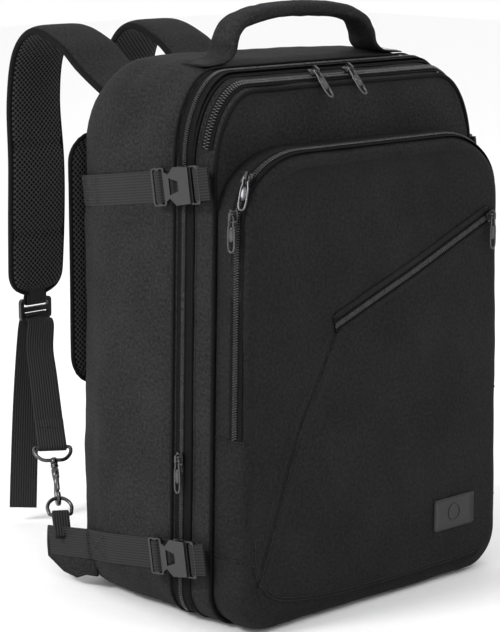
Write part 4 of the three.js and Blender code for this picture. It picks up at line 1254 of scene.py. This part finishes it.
def build_corner_tabs():
    """Corner tab: webbing folded over the ring's bar and sewn into a cloth wing, under the lower strap."""
    turn = np.linspace(0, np.pi, 9)
    around = [(3.6 * math.cos(a), -8 + 3.6 * math.sin(a)) for a in turn]
    route = curve([(1.7, -36), (2.2, -24), (3.3, -14), *around, (-3.3, -14), (-2.2, -24), (-1.7, -36)], 90)
    path = hooked(np.stack([np.zeros(90), route[:, 0], route[:, 1]], -1), RING)
    loop = swept(path, HOOK_X, oval(17, 1.5, 18, 0.4))
    y = np.linspace(42, 117, 34)
    low = np.interp(y, [42, 56, 70, 92, 117], [14, 13, 7, 9, 20])
    high = np.interp(y, [42, 117], [63, 52])
    share = np.linspace(0, 1, 22)
    z = low[:, None] + (high - low)[:, None] * share
    x = -np.interp(y, [42, 60], [179.0, 182.0])[:, None] - 1.0 * np.sin(np.pi * share)[None]
    y = np.repeat(y[:, None], len(share), 1)
    outer, inner = np.stack([x - 2.6, y, z], -1), np.stack([x + 0.2, y, z], -1)
    border = np.concatenate([rim(outer)[None], rim(inner)[None]])
    wing = [(outer, False), (inner, False), (border, True)]
    both("corner_wing_left", wing, "shell_cloth", "main_body", ["anchor_tab_left"])
    both("corner_loop_left", [loop], "webbing", "main_body")
    edge = rim(outer)
    shrunk = edge + (edge.mean(0) - edge) * 0.07 + [-0.9, 0, 0]
    rows = [stitches(np.concatenate([shrunk, shrunk[:1]]), [-1, 0, 0])]
    both("corner_stitching_left", rows, "thread", "main_body", weld=0)


# ---- inside the bag ---------------------------------------------------------------------------------


def build_inside():
    """Padded laptop sleeve, divider, the gusset inside the main rim that comes out with the front section,
    and the back stiffener."""
    t, s = np.linspace(-1, 1, 70), np.linspace(-1, 1, 60)
    u, v = np.meshgrid(s * 149, t * 159)
    q = np.stack([np.abs(u) / 150, np.abs(v) / 160], -1).max(-1)
    swell = 3.4 * np.clip(1 - q**10, 0, 1) * (1 - 0.35 * bump((u + 2 * v) % 46, 23, 3))
    middle_y, middle_z = 66.0, 190.0
    face = np.stack([u, middle_y - swell - 0.6, middle_z + v], -1)
    back = np.stack([u, middle_y + swell * 0.8 + 0.6, middle_z + v], -1)
    border = np.stack([rim(face), rim(back)])
    made = piece("laptop_sleeve_quilted", [(face, False), (back, False), (border, True)], "lining_cloth",
                 "main_body", ["laptop_sleeve"], slot="sleeve_foam")
    section = (-94.2, 4.8, 5.4, 518, 48, 76, 32)
    front = panel(section)
    rear = front + [0, 2.2, 0]
    drape = 0.5 * np.sin(front[..., 0] / 31) * np.sin(front[..., 2] / 47)
    front[1:-1, 1:-1, 1] += drape[1:-1, 1:-1]
    border = np.stack([rim(front), rim(rear)])
    piece("divider_cloth", [(front, False), (rear, False), (border, True)], "lining_cloth", "front_section",
          ["divider_panel"])
    depth = np.linspace(-89.5, -48.2, 24)
    rings = []
    for k, y in enumerate(depth):
        pleat = 0.55 * math.sin(k * math.pi / 3)
        rings.append(rim(panel((y, 5.5 + pleat, 5.9 + pleat, 519.5 - pleat, 46.5, 74.5, 30))))
    band = np.stack(rings)
    made = piece("expansion_cloth", [(band, True)], "lining_cloth", "front_section", ["expansion_gusset"],
                 thickness=0.8)
    stiffener = frame["nodes"]["back_stiffener"]
    stiffener.data.materials.clear()
    stiffener.data.materials.append(material("stiffener_plastic"))


# ---- stage ------------------------------------------------------------------------------------------

CAMERA_AT = (-1.5720, -1.6688, 0.7085)
CAMERA_TO = (-0.0289, -0.0204, 0.2696)
CAMERA_LENS = 129.76


def aimed(name, data, at, to):
    """An object at one place that looks at another."""
    made = bpy.data.objects.new(name, data)
    made.location = at
    made.rotation_euler = (Vector(to) - Vector(at)).to_track_quat("-Z", "Y").to_euler()
    bpy.context.scene.collection.objects.link(made)
    return made


def soft_light(name, at, to, size, power):
    """A round area light."""
    lamp = bpy.data.lights.new(name, "AREA")
    lamp.shape, lamp.size, lamp.energy = "DISK", size, power
    aimed(name, lamp, at, to)


def build_stage():
    """Pale floor, soft studio lights and the camera."""
    scene = bpy.context.scene
    look = settings()
    bpy.ops.mesh.primitive_plane_add(size=14, location=(0, 0, cad_box[0][2] - 0.0005))
    floor = bpy.context.object
    floor.name = "floor"
    paper = Shader("floor_paper", Roughness=0.9, Specular_IOR_Level=0.1)
    grain = paper.noise(paper.coordinates("Object"), 90.0, 2.0)
    tone = paper.shade(grain, (0.93, 0.93, 0.93), (0.96, 0.96, 0.96))
    floor.data.materials.append(paper.finish(tone, None, grain))
    world = bpy.data.worlds.new("studio")
    scene.world = world
    scene.view_settings.view_transform = "Standard"
    world.use_nodes = True
    background = world.node_tree.nodes["Background"].inputs
    background["Color"].default_value = (1.0, 1.0, 1.0, 1.0)
    background["Strength"].default_value = look.room_light
    soft_light("key", (-2.6, 0.5, 2.2), (0, 0, 0.3), 0.9, look.key_light)
    soft_light("front_fill", (0.5, -1.5, 1.7), (0, 0, 0.45), 0.7, look.fill_light)
    soft_light("top", (0.2, 0.4, 2.9), (0, 0, 0.3), 1.6, look.top_light)
    camera = bpy.data.cameras.new("camera")
    camera.lens, camera.sensor_width = CAMERA_LENS, 36.0
    scene.camera = aimed("camera", camera, CAMERA_AT, CAMERA_TO)


# ---- add-on -----------------------------------------------------------------------------------------


def colour(name, description, default):
    """A colour setting."""
    return FloatVectorProperty(name=name, description=description, default=default, subtype="COLOR",
                               size=3, min=0.0, max=1.0)


class BackpackSettings(bpy.types.PropertyGroup):
    """Colours, cloth and light of the bag"""
    shell_colour: colour("Shell cloth", "Colour of the main cloth", (0.0165, 0.0165, 0.0169))
    # The pocket's cloth is the shell's cloth; its darker colour is painted shade of the less lit front face.
    shaded_face_colour: colour("Face cloth", "Colour of the pocket's cloth", (0.0108, 0.0108, 0.0111))
    lining_colour: colour("Lining", "Colour of the lining and gusset", (0.04, 0.042, 0.047))
    webbing_colour: colour("Webbing", "Colour of the webbing", (0.021, 0.021, 0.0215))
    mesh_colour: colour("Air mesh", "Colour of the padded mesh", (0.022, 0.022, 0.0225))
    plastic_colour: colour("Buckles", "Colour of the moulded buckles", (0.0075, 0.0075, 0.0078))
    coil_colour: colour("Zip teeth", "Colour of the zip teeth", (0.021, 0.021, 0.0217))
    patch_colour: colour("Patch", "Colour of the soft patch", (0.007, 0.007, 0.0074))
    metal_colour: colour("Metal", "Colour of the plated hardware", (0.085, 0.085, 0.088))
    fold_depth: FloatProperty(name="Fold depth", default=1.0, min=0.0, max=3.0,
                              description="Depth of the cloth's soft folds, in millimetres")
    pocket_crown: FloatProperty(name="Pocket crown", default=3.0, min=0.0, max=8.0,
                                description="How far the pocket's face swells, in millimetres")
    room_light: FloatProperty(name="Room light", description="Strength of the room's even light", default=1.0)
    key_light: FloatProperty(name="Key light", description="Power of the light from the left", default=60.0,
                             unit="POWER")
    fill_light: FloatProperty(name="Front light", description="Power of the light from the front",
                              default=5.0, unit="POWER")
    top_light: FloatProperty(name="Top light", description="Power of the light overhead", default=4.0,
                             unit="POWER")


def operator(idname, label, note, *builders):
    """An operator class that runs the builders of one piece or group of like pieces."""

    def execute(self, context):
        for build in builders:
            build()
        return {"FINISHED"}

    body = {"bl_idname": f"backpack.{idname}", "bl_label": label, "__doc__": note, "execute": execute}
    return type(f"BACKPACK_OT_{idname}", (bpy.types.Operator,), body)


OPERATORS = [
    operator("stage", "Stage", "Floor, lights and camera", build_stage),
    operator("main_shell", "Main compartment", "Main compartment with its welt", build_main_shell),
    operator("front_section", "Organiser", "Organiser compartment and its piping", build_front_section),
    operator("pocket", "Front pocket", "Front pocket and its patch", build_pocket, build_patch),
    operator("zips", "Zips", "Tapes and teeth of the four zips", build_zips),
    operator("sliders", "Sliders", "Zip sliders and pulls", build_sliders),
    operator("side_straps", "Side straps", "Compression straps", build_side_straps),
    operator("buckles", "Buckles", "Buckles and ladder locks", build_buckles),
    operator("handle", "Handle", "Padded top handle", build_handle),
    operator("shoulder_pads", "Shoulder pads", "Padded shoulder straps", build_shoulder_pads),
    operator("back_pads", "Back pads", "Padding of the back panel", build_back_pads),
    operator("webbing", "Shoulder webbing", "Adjusting webbing", build_shoulder_webbing),
    operator("hooks", "Hooks", "Swivel hooks, rings and corner tabs", build_hooks, build_corner_tabs),
    operator("inside", "Inside", "Sleeve, divider, gusset and stiffener", build_inside),
]


class BACKPACK_PT_build(bpy.types.Panel):
    """Lists the steps that build the bag"""

    bl_label = "Backpack"
    bl_idname = "BACKPACK_PT_build"
    bl_space_type = "VIEW_3D"
    bl_region_type = "UI"
    bl_category = "Backpack"

    def draw(self, context):
        for step in OPERATORS:
            self.layout.operator(step.bl_idname)
        for key in BackpackSettings.__annotations__:
            self.layout.prop(context.scene.backpack, key)


def register():
    for kind in (BackpackSettings, *OPERATORS, BACKPACK_PT_build):
        bpy.utils.register_class(kind)
    bpy.types.Scene.backpack = PointerProperty(type=BackpackSettings)


def unregister():
    del bpy.types.Scene.backpack
    for kind in (BACKPACK_PT_build, *reversed(OPERATORS), BackpackSettings):
        bpy.utils.unregister_class(kind)


def main():
    register()
    for step in OPERATORS:
        getattr(bpy.ops.backpack, step.bl_idname.split(".")[1])()
    bpy.context.view_layer.update()


if __name__ == "__main__":
    main()
